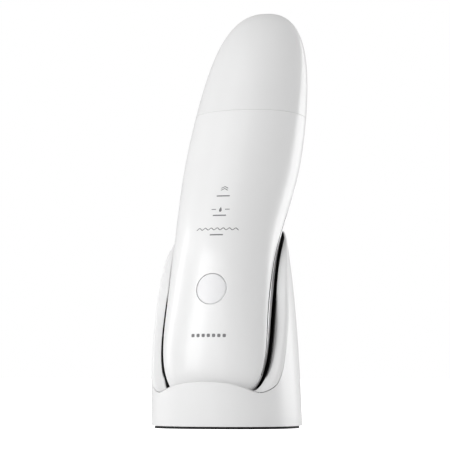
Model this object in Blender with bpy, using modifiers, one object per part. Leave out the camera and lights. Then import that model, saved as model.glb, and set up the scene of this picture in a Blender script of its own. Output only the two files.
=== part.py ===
"""Skin scrubber: a curved handset with a pull-off cap, standing in its charging dock.

Metres, +Z up. The front faces -Y, and the object is symmetric about the plane X = 0.
The origin is the centre of the dock's footprint, on the surface that the dock stands on.
"""

from math import asin, cos, pi, radians, sin

import bmesh
import bpy
import numpy as np
from mathutils import Matrix, Vector

MM = 0.001

# Clearances and walls
GAP = 0.3 * MM
SHELL_WALL = 1.8 * MM
CAP_WALL = 1.6 * MM
DOCK_WALL = 1.5 * MM
CRADLE_WALL = 1.6 * MM
FLANGE = 1.2 * MM
CAVITY_GAP = 1.4 * MM

# Handset: sections along its spine, at u = 0 (foot) to u = 1 (tip), in millimetres:
# u, spine y, spine z, half width, depth in front of the spine, depth behind it
STATIONS = (
    (0.00, -18.0, 9.2, 24.1, 6.5, 10.5),
    (0.15, -13.2, 33.8, 22.4, 9.1, 11.1),
    (0.30, -7.0, 55.1, 21.8, 11.5, 11.7),
    (0.45, 1.2, 76.5, 22.0, 13.4, 12.2),
    (0.60, 14.3, 98.5, 24.0, 14.4, 12.6),
    (0.75, 26.9, 121.7, 25.0, 14.4, 12.6),
    (0.88, 38.7, 146.5, 26.7, 14.0, 12.6),
    (1.00, 50.8, 174.0, 29.9, 13.6, 12.6),
)
HANDSET_SIDES = 40
STATION_STEPS = 24
END_CROWDING = 0.12
SECTION_POWER = 2.2
TIP_LENGTH = 0.391
TIP_POWER = 2.46
FOOT_LENGTH = 0.231
FOOT_POWER = 2.96
SECTION_TILT = radians(11.7)
TIP_EXTRA_TILT = radians(7.6)
TILT_START = 0.72
CAP_SEAM = 0.785

# The seam between the two shells: u, and how far it lies in front of the widest line,
# as a share of the section's depth there
SIDE_SEAM = ((0.0, 0.0), (0.10, 0.09), (0.22, 0.20), (0.36, 0.13), (0.47, -0.05), (0.785, -0.42))
STRIP_EDGES = (-0.05, -0.12)
POCKET_EDGES = (0.10, -0.17)
STRIP_LOW = 0.095
STRIP_HIGH = 0.70
STRIP_THICK = 1.0 * MM

# Dock: half width, depth in front and depth behind at each height, in millimetres
DOCK_LEVELS = (
    (0.0, 30.3, 25.9, 26.0),
    (30.0, 29.3, 25.7, 25.7),
    (60.0, 27.3, 24.2, 24.5),
    (90.0, 23.5, 22.5, 23.4),
)
DOCK_POWER = 2.35
DOCK_CENTRE = 0.34 * MM
DOCK_LEAN = 0.0636
DOCK_BOTTOM = 1.0 * MM
DOCK_TOP = 92 * MM
# The rim seen from the side, from in front of the dock to behind it: y, z in millimetres
RIM_LINE = ((-32.0, 22.0), (-25.6, 18.4), (-20.8, 14.9), (-14.6, 20.6), (-11.3, 30.1), (-8.4, 41.0),
            (-5.9, 54.0), (-2.6, 65.0), (3.6, 75.0), (10.5, 80.2), (18.5, 77.8), (34.0, 69.0))

# Button, in the front shell
BUTTON_U = 0.289
BUTTON_R = 6.3 * MM

# The blade and its transducer share one axis, which starts at the cap's seam
TOP_AXIS_START = Vector((0.0, 29.2 * MM, 127.9 * MM))
TOP_AXIS_LEAN = radians(26.5)
BLADE_THICK = 0.8 * MM

# Charging contacts, one on each side
CONTACT_X = 6 * MM
CONTACT_Y = -14.8 * MM

# Screws and the posts that they bite into
SCREW_R = 0.95 * MM
SCREW_HEAD_R = 2.2 * MM
PILOT_R = 1.25 * MM
SINK_R = 2.6 * MM
POST_R = 2.5 * MM

SIDES = (("left", -1), ("right", 1))


# ---------------------------------------------------------------- scene and materials

for old in list(bpy.data.objects):
    bpy.data.objects.remove(old)

parts = bpy.data.collections.new("skin_scrubber")
cutters = bpy.data.collections.new("cutters")
bpy.context.scene.collection.children.link(parts)
bpy.context.scene.collection.children.link(cutters)


def make_material(name, colour, roughness, metallic=0.0):
    material = bpy.data.materials.new(name)
    material.use_nodes = True
    shader = material.node_tree.nodes["Principled BSDF"]
    shader.inputs["Base Color"].default_value = (*colour, 1.0)
    shader.inputs["Roughness"].default_value = roughness
    shader.inputs["Metallic"].default_value = metallic
    return material


MATERIALS = {
    "white_gloss": make_material("white_gloss", (0.86, 0.86, 0.86), 0.25),
    "white_satin": make_material("white_satin", (0.82, 0.82, 0.82), 0.40),
    "button_white": make_material("button_white", (0.85, 0.85, 0.86), 0.30),
    "chrome": make_material("chrome", (0.86, 0.87, 0.88), 0.12, 1.0),
    "steel": make_material("steel", (0.62, 0.62, 0.63), 0.30, 1.0),
    "brass": make_material("brass", (0.80, 0.62, 0.28), 0.25, 1.0),
    "aluminium": make_material("aluminium", (0.75, 0.75, 0.77), 0.35, 1.0),
    "ceramic": make_material("ceramic", (0.70, 0.66, 0.56), 0.60),
    "black_rubber": make_material("black_rubber", (0.03, 0.03, 0.03), 0.80),
    "black_plastic": make_material("black_plastic", (0.04, 0.04, 0.045), 0.50),
    "circuit_board": make_material("circuit_board", (0.03, 0.22, 0.10), 0.45),
    "battery_wrap": make_material("battery_wrap", (0.55, 0.57, 0.60), 0.40),
    "led_lens": make_material("led_lens", (0.92, 0.90, 0.80), 0.20),
}


# ---------------------------------------------------------------- modelling helpers

def file_under(obj, material=None):
    """Put an object with the parts, or with the cutters when it has no material."""
    for collection in list(obj.users_collection):
        collection.objects.unlink(obj)
    if material is None:
        cutters.objects.link(obj)
        obj.hide_render = True
        obj.display_type = "WIRE"
    else:
        parts.objects.link(obj)
        obj.data.materials.clear()
        obj.data.materials.append(MATERIALS[material])
    return obj


def mesh_object(name, mesh, material=None, smooth=40):
    obj = bpy.data.objects.new(name, mesh)
    mesh.shade_smooth()
    mesh.set_sharp_from_angle(angle=radians(smooth))
    return file_under(obj, material)


def surface(name, rows, closed, capped=False, material=None):
    """A lofted surface through rows of points; closed joins the ends of each row."""
    mesh = bpy.data.meshes.new(name)
    bm = bmesh.new()
    grid = [[bm.verts.new(point) for point in row] for row in rows]
    count = len(rows[0])
    for low, high in zip(grid, grid[1:]):
        for j in range(count if closed else count - 1):
            k = (j + 1) % count
            bm.faces.new((low[j], low[k], high[k], high[j]))
    bmesh.ops.remove_doubles(bm, verts=bm.verts, dist=0.002 * MM)
    if capped:
        rim = [edge for edge in bm.edges if edge.is_boundary]
        bmesh.ops.holes_fill(bm, edges=rim, sides=0)
        bmesh.ops.recalc_face_normals(bm, faces=bm.faces)
    bm.to_mesh(mesh)
    bm.free()
    return mesh_object(name, mesh, material)


def curve_to_mesh(obj, name, material):
    """Replace a curve object by its welded mesh, in the same place."""
    bpy.context.view_layer.update()
    evaluated = obj.evaluated_get(bpy.context.evaluated_depsgraph_get())
    mesh = bpy.data.meshes.new_from_object(evaluated)
    bm = bmesh.new()
    bm.from_mesh(mesh)
    bmesh.ops.remove_doubles(bm, verts=bm.verts, dist=0.001 * MM)
    bm.to_mesh(mesh)
    bm.free()
    solid = mesh_object(name, mesh, material)
    solid.matrix_world = obj.matrix_world
    bpy.data.objects.remove(obj)
    return solid


def extruded(name, outline, half_thickness, matrix=None, material=None):
    """A flat outline in local XY, extruded along local Z to both sides."""
    data = bpy.data.curves.new(name, "CURVE")
    data.dimensions = "2D"
    data.fill_mode = "BOTH"
    data.extrude = half_thickness
    spline = data.splines.new("POLY")
    spline.points.add(len(outline) - 1)
    for point, (x, y) in zip(spline.points, outline):
        point.co = (x, y, 0.0, 1.0)
    spline.use_cyclic_u = True
    curve = bpy.data.objects.new(name + "_outline", data)
    bpy.context.scene.collection.objects.link(curve)
    if matrix is not None:
        curve.matrix_world = matrix
    return curve_to_mesh(curve, name, material)


def box(name, size, matrix, material=None, bevel=0.0):
    bpy.ops.mesh.primitive_cube_add(size=1.0)
    obj = bpy.context.object
    obj.name = name
    obj.data.transform(Matrix.Diagonal((*size, 1.0)))
    obj.matrix_world = matrix
    if bevel:
        rounding = obj.modifiers.new("edges", "BEVEL")
        rounding.width = bevel
        rounding.segments = 2
    return file_under(obj, material)


def cylinder(name, radius, low, high, matrix, material=None, sides=16):
    """A round bar along local Z, from low to high."""
    bpy.ops.mesh.primitive_cylinder_add(vertices=sides, radius=radius, depth=high - low)
    obj = bpy.context.object
    obj.name = name
    obj.data.transform(Matrix.Translation((0.0, 0.0, (low + high) / 2)))
    obj.data.shade_smooth()
    obj.data.set_sharp_from_angle(angle=radians(40))
    obj.matrix_world = matrix
    return file_under(obj, material)


def turned(name, profile, matrix, material=None, closed=False, steps=16):
    """A profile of (radius, height) points, listed down its outer side, turned about local Z."""
    mesh = bpy.data.meshes.new(name)
    bm = bmesh.new()
    points = [bm.verts.new((radius, 0.0, height)) for radius, height in profile]
    ends = points + points[:1] if closed else points
    for a, b in zip(ends, ends[1:]):
        bm.edges.new((a, b))
    bm.to_mesh(mesh)
    bm.free()
    obj = bpy.data.objects.new(name, mesh)
    screw = obj.modifiers.new("turn", "SCREW")
    screw.axis = "Z"
    screw.steps = steps
    screw.render_steps = steps
    screw.use_merge_vertices = True
    screw.merge_threshold = 0.01 * MM
    screw.use_smooth_shade = True
    obj.matrix_world = matrix
    return file_under(obj, material)


def boolean(obj, cutter, operation="DIFFERENCE"):
    modifier = obj.modifiers.new(cutter.name, "BOOLEAN")
    modifier.operation = operation
    modifier.solver = "EXACT"
    modifier.object = cutter
    return obj


def thicken(obj, thickness, offset=-1.0):
    """Give a surface a wall: offset -1 inwards, 1 outwards, 0 to both sides."""
    wall = obj.modifiers.new("wall", "SOLIDIFY")
    wall.thickness = thickness
    wall.offset = offset
    wall.use_even_offset = True
    return obj


def natural_spline(knots, values):
    """A smooth function through the values at the knots."""
    x = np.array(knots, float)
    y = np.array(values, float)
    h = np.diff(x)
    system = np.eye(len(x))
    right = np.zeros(y.shape)
    for i in range(1, len(x) - 1):
        system[i, i - 1:i + 2] = (h[i - 1], 2 * (h[i - 1] + h[i]), h[i])
        right[i] = 6 * ((y[i + 1] - y[i]) / h[i] - (y[i] - y[i - 1]) / h[i - 1])
    bend = np.linalg.solve(system, right)

    def value(t):
        i = min(max(int(np.searchsorted(x, t)) - 1, 0), len(x) - 2)
        a = (x[i + 1] - t) / h[i]
        b = (t - x[i]) / h[i]
        curved = (a ** 3 - a) * bend[i] + (b ** 3 - b) * bend[i + 1]
        return a * y[i] + b * y[i + 1] + curved * h[i] ** 2 / 6

    return value


def leaning(origin, lean):
    """A frame at origin whose Z leans back by the angle and whose Y points backwards."""
    return Matrix.Translation(origin) @ Matrix.Rotation(-lean, 4, "X")


def at(x, y, z):
    return Matrix.Translation((x, y, z))


def in_mm(points):
    return [(x * MM, y * MM) for x, y in points]


# A flat outline in local XY is set upright: in the YZ plane, thick along X, or in the XZ plane, thick along Y
SIDE_VIEW = Matrix(((0, 0, 1, 0), (1, 0, 0, 0), (0, 1, 0, 0), (0, 0, 0, 1)))
FRONT_VIEW = Matrix(((1, 0, 0, 0), (0, 0, -1, 0), (0, 1, 0, 0), (0, 0, 0, 1)))


# ---------------------------------------------------------------- the handset's form

spine_values = natural_spline([row[0] for row in STATIONS], [[v * MM for v in row[1:]] for row in STATIONS])
seam_share = natural_spline([row[0] for row in SIDE_SEAM], [row[1] for row in SIDE_SEAM])


def section(u):
    """Spine point (y, z), tilt, half width, front depth and back depth of the section at u."""
    y, z, half_width, front, back = spine_values(u)
    tip = max(0.0, (u - 1 + TIP_LENGTH) / TIP_LENGTH)
    foot = max(0.0, (FOOT_LENGTH - u) / FOOT_LENGTH)
    size = max(0.0, 1 - tip ** TIP_POWER) ** (1 / TIP_POWER)
    size *= max(0.0, 1 - foot ** FOOT_POWER) ** (1 / FOOT_POWER)
    tilt = SECTION_TILT + TIP_EXTRA_TILT * max(0.0, (u - TILT_START) / (1 - TILT_START)) ** 2
    return y, z, tilt, half_width * size, front * size, back * size


def handset_point(u, angle, inset=0.0):
    """A point of the outside: angle 0 is the +X side and a quarter turn is the front."""
    y, z, tilt, half_width, front, back = section(u)
    across = abs(cos(angle)) ** (2 / SECTION_POWER) * (1 if cos(angle) > 0 else -1)
    ahead = abs(sin(angle)) ** (2 / SECTION_POWER) * (1 if sin(angle) > 0 else -1)
    depth = ahead * ((front if ahead > 0 else back) - inset)
    return Vector(((half_width - inset) * across, y - cos(tilt) * depth, z + sin(tilt) * depth))


def stations(low, high):
    """Values of u from low to high, closer together towards the handset's two ends."""
    even = np.linspace(0, 1, STATION_STEPS + 1)[1:-1]
    spread = [0.002] + [v - END_CROWDING * sin(2 * pi * v) for v in even] + [0.998]
    return [low] + [u for u in spread if low + 0.0015 < u < high - 0.0015] + [high]


def seam_angle(u, shift=0.0):
    """The angle at which the side seam crosses the section at u, moved forwards by a share."""
    share = float(seam_share(u)) + shift
    return asin(min(1.0, abs(share)) ** (SECTION_POWER / 2)) * (1 if share > 0 else -1)


def handset_ring(u, sides, inset=0.0):
    return [handset_point(u, -2 * pi * j / sides, inset) for j in range(sides)]


def handset_patch(name, low, high, first, last, columns, material=None):
    """The outside between two angles, each given as a function of u, from the first to the last."""
    rows = []
    for u in stations(low, high):
        rows.append([handset_point(u, angle) for angle in np.linspace(first(u), last(u), columns + 1)])
    return surface(name, rows, closed=False, material=material)


def handset_solid(name, low, high, offset, material=None):
    """The handset's closed form from u = low to u = high, grown outwards by the offset."""
    rows = [handset_ring(u, HANDSET_SIDES) for u in stations(low, high)]
    solid = surface(name, rows, closed=True, capped=True, material=material)
    if offset:
        grow = solid.modifiers.new("grow", "DISPLACE")
        grow.strength = offset
        grow.mid_level = 0.0
    return solid


# ---------------------------------------------------------------- the dock's form

dock_values = natural_spline([row[0] * MM for row in DOCK_LEVELS],
                             [[v * MM for v in row[1:]] for row in DOCK_LEVELS])
rim_lengths = np.concatenate([[0], np.cumsum(np.linalg.norm(np.diff(np.array(RIM_LINE), axis=0), axis=1))])
rim_curve = natural_spline(rim_lengths, [[y * MM, z * MM] for y, z in RIM_LINE])


def dock_ring(z, sides, inset=0.0):
    """The dock's outline at a height, starting at the front and passing the +X side."""
    half_width, front, back = dock_values(z)
    centre = DOCK_CENTRE - DOCK_LEAN * z
    ring = []
    for j in range(sides):
        angle = 2 * pi * j / sides
        reach = (abs(sin(angle)) ** DOCK_POWER + abs(cos(angle)) ** DOCK_POWER) ** (-1 / DOCK_POWER)
        depth = (front if cos(angle) > 0 else back) - inset
        x = (half_width - inset) * sin(angle) * reach
        ring.append(Vector((x, centre - depth * cos(angle) * reach, z)))
    return ring


def rim_outline(drop, steps=44):
    """The rim line in the side view, moved down at right angles to itself."""
    places = np.linspace(0, rim_lengths[-1], steps)
    points = np.array([rim_curve(t) for t in places])
    along = np.gradient(points, axis=0)
    along /= np.linalg.norm(along, axis=1)[:, None]
    return [(y + drop * dz, z - drop * dy) for (y, z), (dy, dz) in zip(points, along)]


def above_rim(name, drop):
    """Everything above the rim line, as a cutter."""
    outline = rim_outline(drop)
    over = [(outline[-1][0], 120 * MM), (outline[0][0], 120 * MM)]
    return extruded(name, outline + over, 45 * MM, SIDE_VIEW)


def below_rim(name, drop):
    """Everything below the rim line, as a cutter."""
    outline = rim_outline(drop)
    under = [(outline[-1][0], -10 * MM), (outline[0][0], -10 * MM)]
    return extruded(name, outline + under, 45 * MM, SIDE_VIEW)


DOCK_SIDES = 40
DOCK_HEIGHTS = [DOCK_BOTTOM] + [z * MM for z in (15, 30, 45, 60, 75)] + [DOCK_TOP]
# Screw posts under the cradle: x, y, how high the post reaches, and the depth of its pilot hole
POSTS = [(side * 15.5 * MM, y * MM, top * MM, pilot * MM)
         for side in (-1, 1) for y, top, pilot in ((-16.0, 12.0, 8.0), (-7.0, 32.0, 14.0))]
PLATE_TOP = 2.6 * MM
BOARD_LOW = 2.9 * MM
BOARD_HIGH = 4.1 * MM
USB_Z = 6.1 * MM
USB_HALF_W = 4.5 * MM
USB_HALF_H = 1.6 * MM


def stadium(half_width, half_height, steps=8):
    """A slot outline with round ends, in local XY."""
    reach = half_width - half_height
    turns = np.linspace(-pi / 2, pi / 2, steps)
    right = [(reach + half_height * cos(turn), half_height * sin(turn)) for turn in turns]
    left = [(-x, -y) for x, y in right]
    return right + left


def make_dock_shell():
    rows = [dock_ring(z, DOCK_SIDES) for z in DOCK_HEIGHTS]
    shell = thicken(surface("dock_shell", rows, closed=True, material="white_gloss"), DOCK_WALL)
    boolean(shell, above_rim("cut_shell_top", FLANGE + GAP))
    slot = extruded("cut_usb", stadium(USB_HALF_W + 0.5 * MM, USB_HALF_H + 0.5 * MM), 6 * MM,
                    at(0, 25 * MM, USB_Z) @ Matrix.Rotation(pi / 2, 4, "X"))
    boolean(shell, slot)


def make_dock_cradle():
    """The liner: a flange that caps the shell's rim, a cup that the handset stands in, and screw posts."""
    rows = [dock_ring(z, DOCK_SIDES) for z in DOCK_HEIGHTS]
    cradle = surface("dock_cradle", rows, closed=True, capped=True, material="white_satin")
    boolean(cradle, above_rim("cut_flange_top", 0.0))
    boolean(cradle, below_rim("cut_flange_under", FLANGE))
    cup = handset_solid("add_cup", 0.0, 0.62, CAVITY_GAP + CRADLE_WALL)
    boolean(cup, above_rim("cut_cup_top", FLANGE / 2))
    rows = [dock_ring(z, DOCK_SIDES, DOCK_WALL + GAP) for z in DOCK_HEIGHTS]
    boolean(cup, surface("keep_cup_inside", rows, closed=True, capped=True), "INTERSECT")
    boolean(cradle, cup, "UNION")
    for i, (x, y, top, pilot) in enumerate(POSTS):
        boolean(cradle, cylinder(f"add_post_{i}", POST_R, PLATE_TOP + GAP, top, at(x, y, 0)), "UNION")
    boolean(cradle, handset_solid("cut_cavity", 0.0, 0.66, CAVITY_GAP))
    for i, (x, y, top, pilot) in enumerate(POSTS):
        boolean(cradle, cylinder(f"cut_pilot_{i}", PILOT_R, 0, pilot, at(x, y, 0), sides=12))
    for side, sign in SIDES:
        hole = cylinder(f"cut_contact_{side}", BARREL_R + GAP, 2 * MM, 14 * MM,
                        at(sign * CONTACT_X, CONTACT_Y, 0))
        boolean(cradle, hole)


BARREL_R = 2.2 * MM
BARREL_BORE = 1.8 * MM
BARREL_LOW = BOARD_HIGH + GAP
BARREL_HIGH = 8.4 * MM
LIP = 0.5 * MM
LIP_R = 1.35 * MM
PLUNGER_R = 1.0 * MM
PLUNGER_FLANGE_R = 1.45 * MM
PLUNGER_FLANGE_LOW = 7.0 * MM
PLUNGER_FLANGE_HIGH = 7.6 * MM
PLUNGER_TOP = 9.4 * MM
SPRING_TURNS = 3
SPRING_R = 1.15 * MM
SPRING_WIRE = 0.17 * MM


def make_contact_pin(side, sign):
    """A sprung charging pin: a barrel with a lip, a coil spring and the plunger that it pushes up."""
    frame = at(sign * CONTACT_X, CONTACT_Y, 0)
    floor = BARREL_LOW + 0.4 * MM
    barrel = [(0, floor), (BARREL_BORE, floor), (BARREL_BORE, BARREL_HIGH - LIP), (LIP_R, BARREL_HIGH - LIP),
              (LIP_R, BARREL_HIGH), (BARREL_R, BARREL_HIGH), (BARREL_R, BARREL_LOW), (0, BARREL_LOW)]
    turned(f"contact_barrel_{side}", barrel, frame, "brass")
    plunger = [(0, PLUNGER_TOP), (0.7 * PLUNGER_R, PLUNGER_TOP - 0.05 * MM),
               (PLUNGER_R, PLUNGER_TOP - 0.4 * MM), (PLUNGER_R, PLUNGER_FLANGE_HIGH),
               (PLUNGER_FLANGE_R, PLUNGER_FLANGE_HIGH),
               (PLUNGER_FLANGE_R, PLUNGER_FLANGE_LOW), (0, PLUNGER_FLANGE_LOW)]
    turned(f"contact_plunger_{side}", plunger, frame, "brass")
    low = floor + GAP + SPRING_WIRE
    high = PLUNGER_FLANGE_LOW - GAP - SPRING_WIRE
    data = bpy.data.curves.new("spring", "CURVE")
    data.dimensions = "3D"
    data.bevel_depth = SPRING_WIRE
    data.bevel_resolution = 0
    data.use_fill_caps = True
    points = 12 * SPRING_TURNS + 1
    spline = data.splines.new("POLY")
    spline.points.add(points - 1)
    for i, point in enumerate(spline.points):
        angle = 2 * pi * i / 12
        height = low + (high - low) * i / (points - 1)
        point.co = (SPRING_R * cos(angle), SPRING_R * sin(angle), height, 1.0)
    coil = bpy.data.objects.new("spring_curve", data)
    bpy.context.scene.collection.objects.link(coil)
    coil.matrix_world = frame
    curve_to_mesh(coil, f"contact_spring_{side}", "steel")


def screw(name, frame, length, head_height):
    """A pan-head screw: its head's top is at local Z = 0 and its shank runs down."""
    profile = [(0, 0), (SCREW_HEAD_R * 0.8, 0), (SCREW_HEAD_R, -head_height * 0.4),
               (SCREW_HEAD_R, -head_height), (SCREW_R, -head_height),
               (SCREW_R, -length + SCREW_R), (0, -length)]
    turned(name, profile, frame, "steel", steps=12)


def make_dock_base():
    """The base plate with its screws, the rubber foot, the ballast and the board with its socket."""
    rows = [dock_ring(z, DOCK_SIDES, DOCK_WALL + GAP) for z in (DOCK_BOTTOM, PLATE_TOP)]
    plate = surface("dock_base_plate", rows, closed=True, capped=True, material="white_satin")
    rows = [dock_ring(z, DOCK_SIDES, 1.2 * MM) for z in (0.0, DOCK_BOTTOM - GAP)]
    surface("dock_foot_pad", rows, closed=True, capped=True, material="black_rubber")
    underside = Matrix.Rotation(pi, 4, "X")
    for i, (x, y, _, pilot) in enumerate(POSTS):
        frame = at(x, y, 0)
        boolean(plate, cylinder(f"cut_plate_hole_{i}", PILOT_R, 0, 4 * MM, frame, sides=12))
        boolean(plate, cylinder(f"cut_plate_sink_{i}", SINK_R, 0, DOCK_BOTTOM + 0.9 * MM, frame))
        head = DOCK_BOTTOM + 0.1 * MM
        screw(f"base_screw_{i + 1}", at(x, y, head) @ underside, pilot - head - 1 * MM, 0.5 * MM)
    for side, sign in SIDES:
        place = at(sign * 17.5 * MM, 7 * MM, 8.9 * MM)
        box(f"ballast_{side}", (7 * MM, 14 * MM, 12 * MM), place, "steel", 0.5 * MM)
    box("dock_board", (23 * MM, 42 * MM, BOARD_HIGH - BOARD_LOW),
        at(0, 0.5 * MM, (BOARD_LOW + BOARD_HIGH) / 2), "circuit_board")
    along_y = Matrix.Rotation(pi / 2, 4, "X")
    socket = extruded("usb_socket", stadium(USB_HALF_W, USB_HALF_H), 3.7 * MM,
                      at(0, 21.2 * MM, USB_Z) @ along_y, "chrome")
    pocket = extruded("cut_socket", stadium(USB_HALF_W - 0.35 * MM, USB_HALF_H - 0.35 * MM), 3.7 * MM,
                      at(0, 22.2 * MM, USB_Z) @ along_y)
    boolean(socket, pocket)
    box("usb_tongue", (6.2 * MM, 4.5 * MM, 0.7 * MM), at(0, 21.2 * MM, USB_Z), "black_plastic")


# ---------------------------------------------------------------- the handset's shells

def half_space(name, forwards):
    """Everything in front of the shells' side seam, or behind it, less half of the gap, as a cutter."""
    reach = 45 * MM
    side = 1 if forwards else -1
    rows = []
    for u in np.linspace(-0.06, CAP_SEAM + 0.06, 18):
        y, z = spine_values(u)[:2]
        tilt, _, front, back = section(max(u, 0.0))[2:]
        share = float(seam_share(max(u, 0.0)))
        seam = share * (front if share > 0 else back) + side * GAP / 2
        row = []
        for x, depth in ((reach, seam), (reach, side * reach), (-reach, side * reach), (-reach, seam)):
            row.append(Vector((x, y - cos(tilt) * depth, z + sin(tilt) * depth)))
        rows.append(row)
    return surface(name, rows, closed=True, capped=True)


def front_frame(u):
    """A frame on the handset's front centre line: X across, Y up along the surface, Z out of it."""
    step = 0.004
    along = (handset_point(u + step, pi / 2) - handset_point(u - step, pi / 2)).normalized()
    across = Vector((1, 0, 0))
    columns = Matrix((across, along, across.cross(along))).transposed().to_4x4()
    return Matrix.Translation(handset_point(u, pi / 2)) @ columns


# Screws that hold the shells together: u and x of each one
SHELL_SCREWS = ((0.085, -11), (0.085, 11), (0.62, -17), (0.62, 17))


def depth_at(u, x, front):
    """How far the outside lies in front of the spine, or behind it, at a distance x from the middle."""
    half_width, front_depth, back_depth = section(u)[3:]
    share = (1 - (abs(x) / half_width) ** SECTION_POWER) ** (1 / SECTION_POWER)
    return share * (front_depth if front else back_depth)


def screw_frame(u, x):
    """A frame on the spine whose Z points to the back, square to the sections' depth."""
    y, z, tilt = section(u)[:3]
    return Matrix.Translation((x, y, z)) @ Matrix.Rotation(-pi / 2 - tilt, 4, "X")


def make_shells():
    hollow = handset_solid("cut_hollow", 0.0, CAP_SEAM + 0.05, -SHELL_WALL)
    front = handset_solid("front_shell", 0.0, CAP_SEAM, 0.0, "white_gloss")
    boolean(front, hollow)
    boolean(front, half_space("keep_front", True), "INTERSECT")
    rear = handset_solid("rear_shell", 0.0, CAP_SEAM, 0.0, "white_gloss")
    boolean(rear, hollow)
    boolean(rear, half_space("keep_rear", False), "INTERSECT")
    hole = cylinder("cut_button_hole", BUTTON_R + GAP, -5 * MM, 5 * MM, front_frame(BUTTON_U), sides=32)
    boolean(front, hole)
    for i, (u, x) in enumerate(SHELL_SCREWS):
        frame = screw_frame(u, x * MM)
        ahead = depth_at(u, abs(x) * MM + POST_R, True)
        behind = depth_at(u, x * MM, False)
        post_end = depth_at(u, abs(x) * MM + POST_R, False) - SHELL_WALL - 3 * GAP
        boolean(front, cylinder(f"add_post_front_{i}", POST_R, -ahead + 0.5 * MM, post_end, frame), "UNION")
        pilot = cylinder(f"cut_post_front_{i}", PILOT_R, post_end - 6 * MM, post_end + MM, frame, sides=12)
        boolean(front, pilot)
        through = cylinder(f"cut_rear_hole_{i}", PILOT_R, post_end - MM, behind + 3 * MM, frame, sides=12)
        boolean(rear, through)
        sink = behind - 0.9 * MM
        boolean(rear, cylinder(f"cut_rear_sink_{i}", SINK_R, sink, behind + 3 * MM, frame))
        head = frame @ at(0, 0, sink + GAP + 0.7 * MM)
        screw(f"shell_screw_{i + 1}", head, sink - post_end + 6.0 * MM, 0.7 * MM)


def strip_patch(name, low, high, ahead, behind, material=None):
    """A band along the side, from one place to another ahead of the shells' seam or behind it (shares)."""
    def first(u):
        return seam_angle(u, ahead)

    def last(u):
        return seam_angle(u, behind)

    return handset_patch(name, low, high, first, last, 3, material)


def make_side_strips():
    """The metal electrode set into the rear shell on each side, flush with the outside."""
    rear = bpy.data.objects["rear_shell"]
    for side, sign in SIDES:
        strip = strip_patch(f"side_electrode_{side}", STRIP_LOW, STRIP_HIGH, *STRIP_EDGES, "chrome")
        pocket = strip_patch(f"cut_strip_{side}", STRIP_LOW - 0.006, STRIP_HIGH + 0.004, *POCKET_EDGES)
        thicken(strip, STRIP_THICK)
        thicken(pocket, 2 * (STRIP_THICK + GAP), 0.0)
        if sign < 0:
            for half in (strip, pocket):
                half.data.transform(Matrix.Diagonal((-1, 1, 1, 1)))
                half.data.flip_normals()
        boolean(rear, pocket)


def make_charge_contacts():
    """The two pads in the handset's foot, over the dock's pins."""
    rear = bpy.data.objects["rear_shell"]
    for side, sign in SIDES:
        frame = at(sign * CONTACT_X, CONTACT_Y, 0)
        boolean(rear, cylinder(f"cut_pad_{side}", 1.6 * MM + GAP, 8 * MM, 13.5 * MM, frame))
        cylinder(f"charge_contact_{side}", 1.6 * MM, PLUNGER_TOP + GAP, 12 * MM, frame, "brass")


# ---------------------------------------------------------------- button and electronics

BUTTON_FRAME = front_frame(BUTTON_U)
BUTTON_FLANGE_R = 7.6 * MM
BUTTON_FLANGE_TOP = -2.6 * MM
BUTTON_FLANGE_LOW = -3.6 * MM
STEM_R = 1.6 * MM
STEM_LOW = -4.4 * MM
SWITCH_TOP = -5.4 * MM
SWITCH_LOW = -7.4 * MM
SWITCH_WELL = -7.0 * MM
BOARD_FACE = SWITCH_LOW - GAP
BOARD_THICK = 1.2 * MM


def make_button():
    """The round button: its face follows the handset's surface, and a flange holds it in."""
    def first(u):
        return pi / 2 + 0.5

    def last(u):
        return pi / 2 - 0.5

    button = handset_patch("power_button", BUTTON_U - 0.06, BUTTON_U + 0.06, first, last, 10, "button_white")
    thicken(button, 3.0 * MM)
    rim = cylinder("keep_button_round", BUTTON_R, -9 * MM, 5 * MM, BUTTON_FRAME, sides=32)
    boolean(button, rim, "INTERSECT")
    profile = [(0, BUTTON_FLANGE_TOP), (BUTTON_FLANGE_R, BUTTON_FLANGE_TOP), (BUTTON_FLANGE_R, BUTTON_FLANGE_LOW),
               (STEM_R, BUTTON_FLANGE_LOW), (STEM_R, STEM_LOW), (0, STEM_LOW)]
    boolean(button, turned("add_button_stem", profile, BUTTON_FRAME), "UNION")
    plunger = [(0, STEM_LOW - GAP), (1.5 * MM, STEM_LOW - GAP), (1.5 * MM, -6.2 * MM), (0, -6.2 * MM)]
    turned("switch_plunger", plunger, BUTTON_FRAME, "black_plastic")
    middle = BUTTON_FRAME @ at(0, 0, (SWITCH_TOP + SWITCH_LOW) / 2)
    switch = box("tact_switch", (6 * MM, 6 * MM, SWITCH_TOP - SWITCH_LOW), middle, "steel")
    boolean(switch, cylinder("cut_switch_well", 1.8 * MM, SWITCH_WELL, 0, BUTTON_FRAME))


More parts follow.
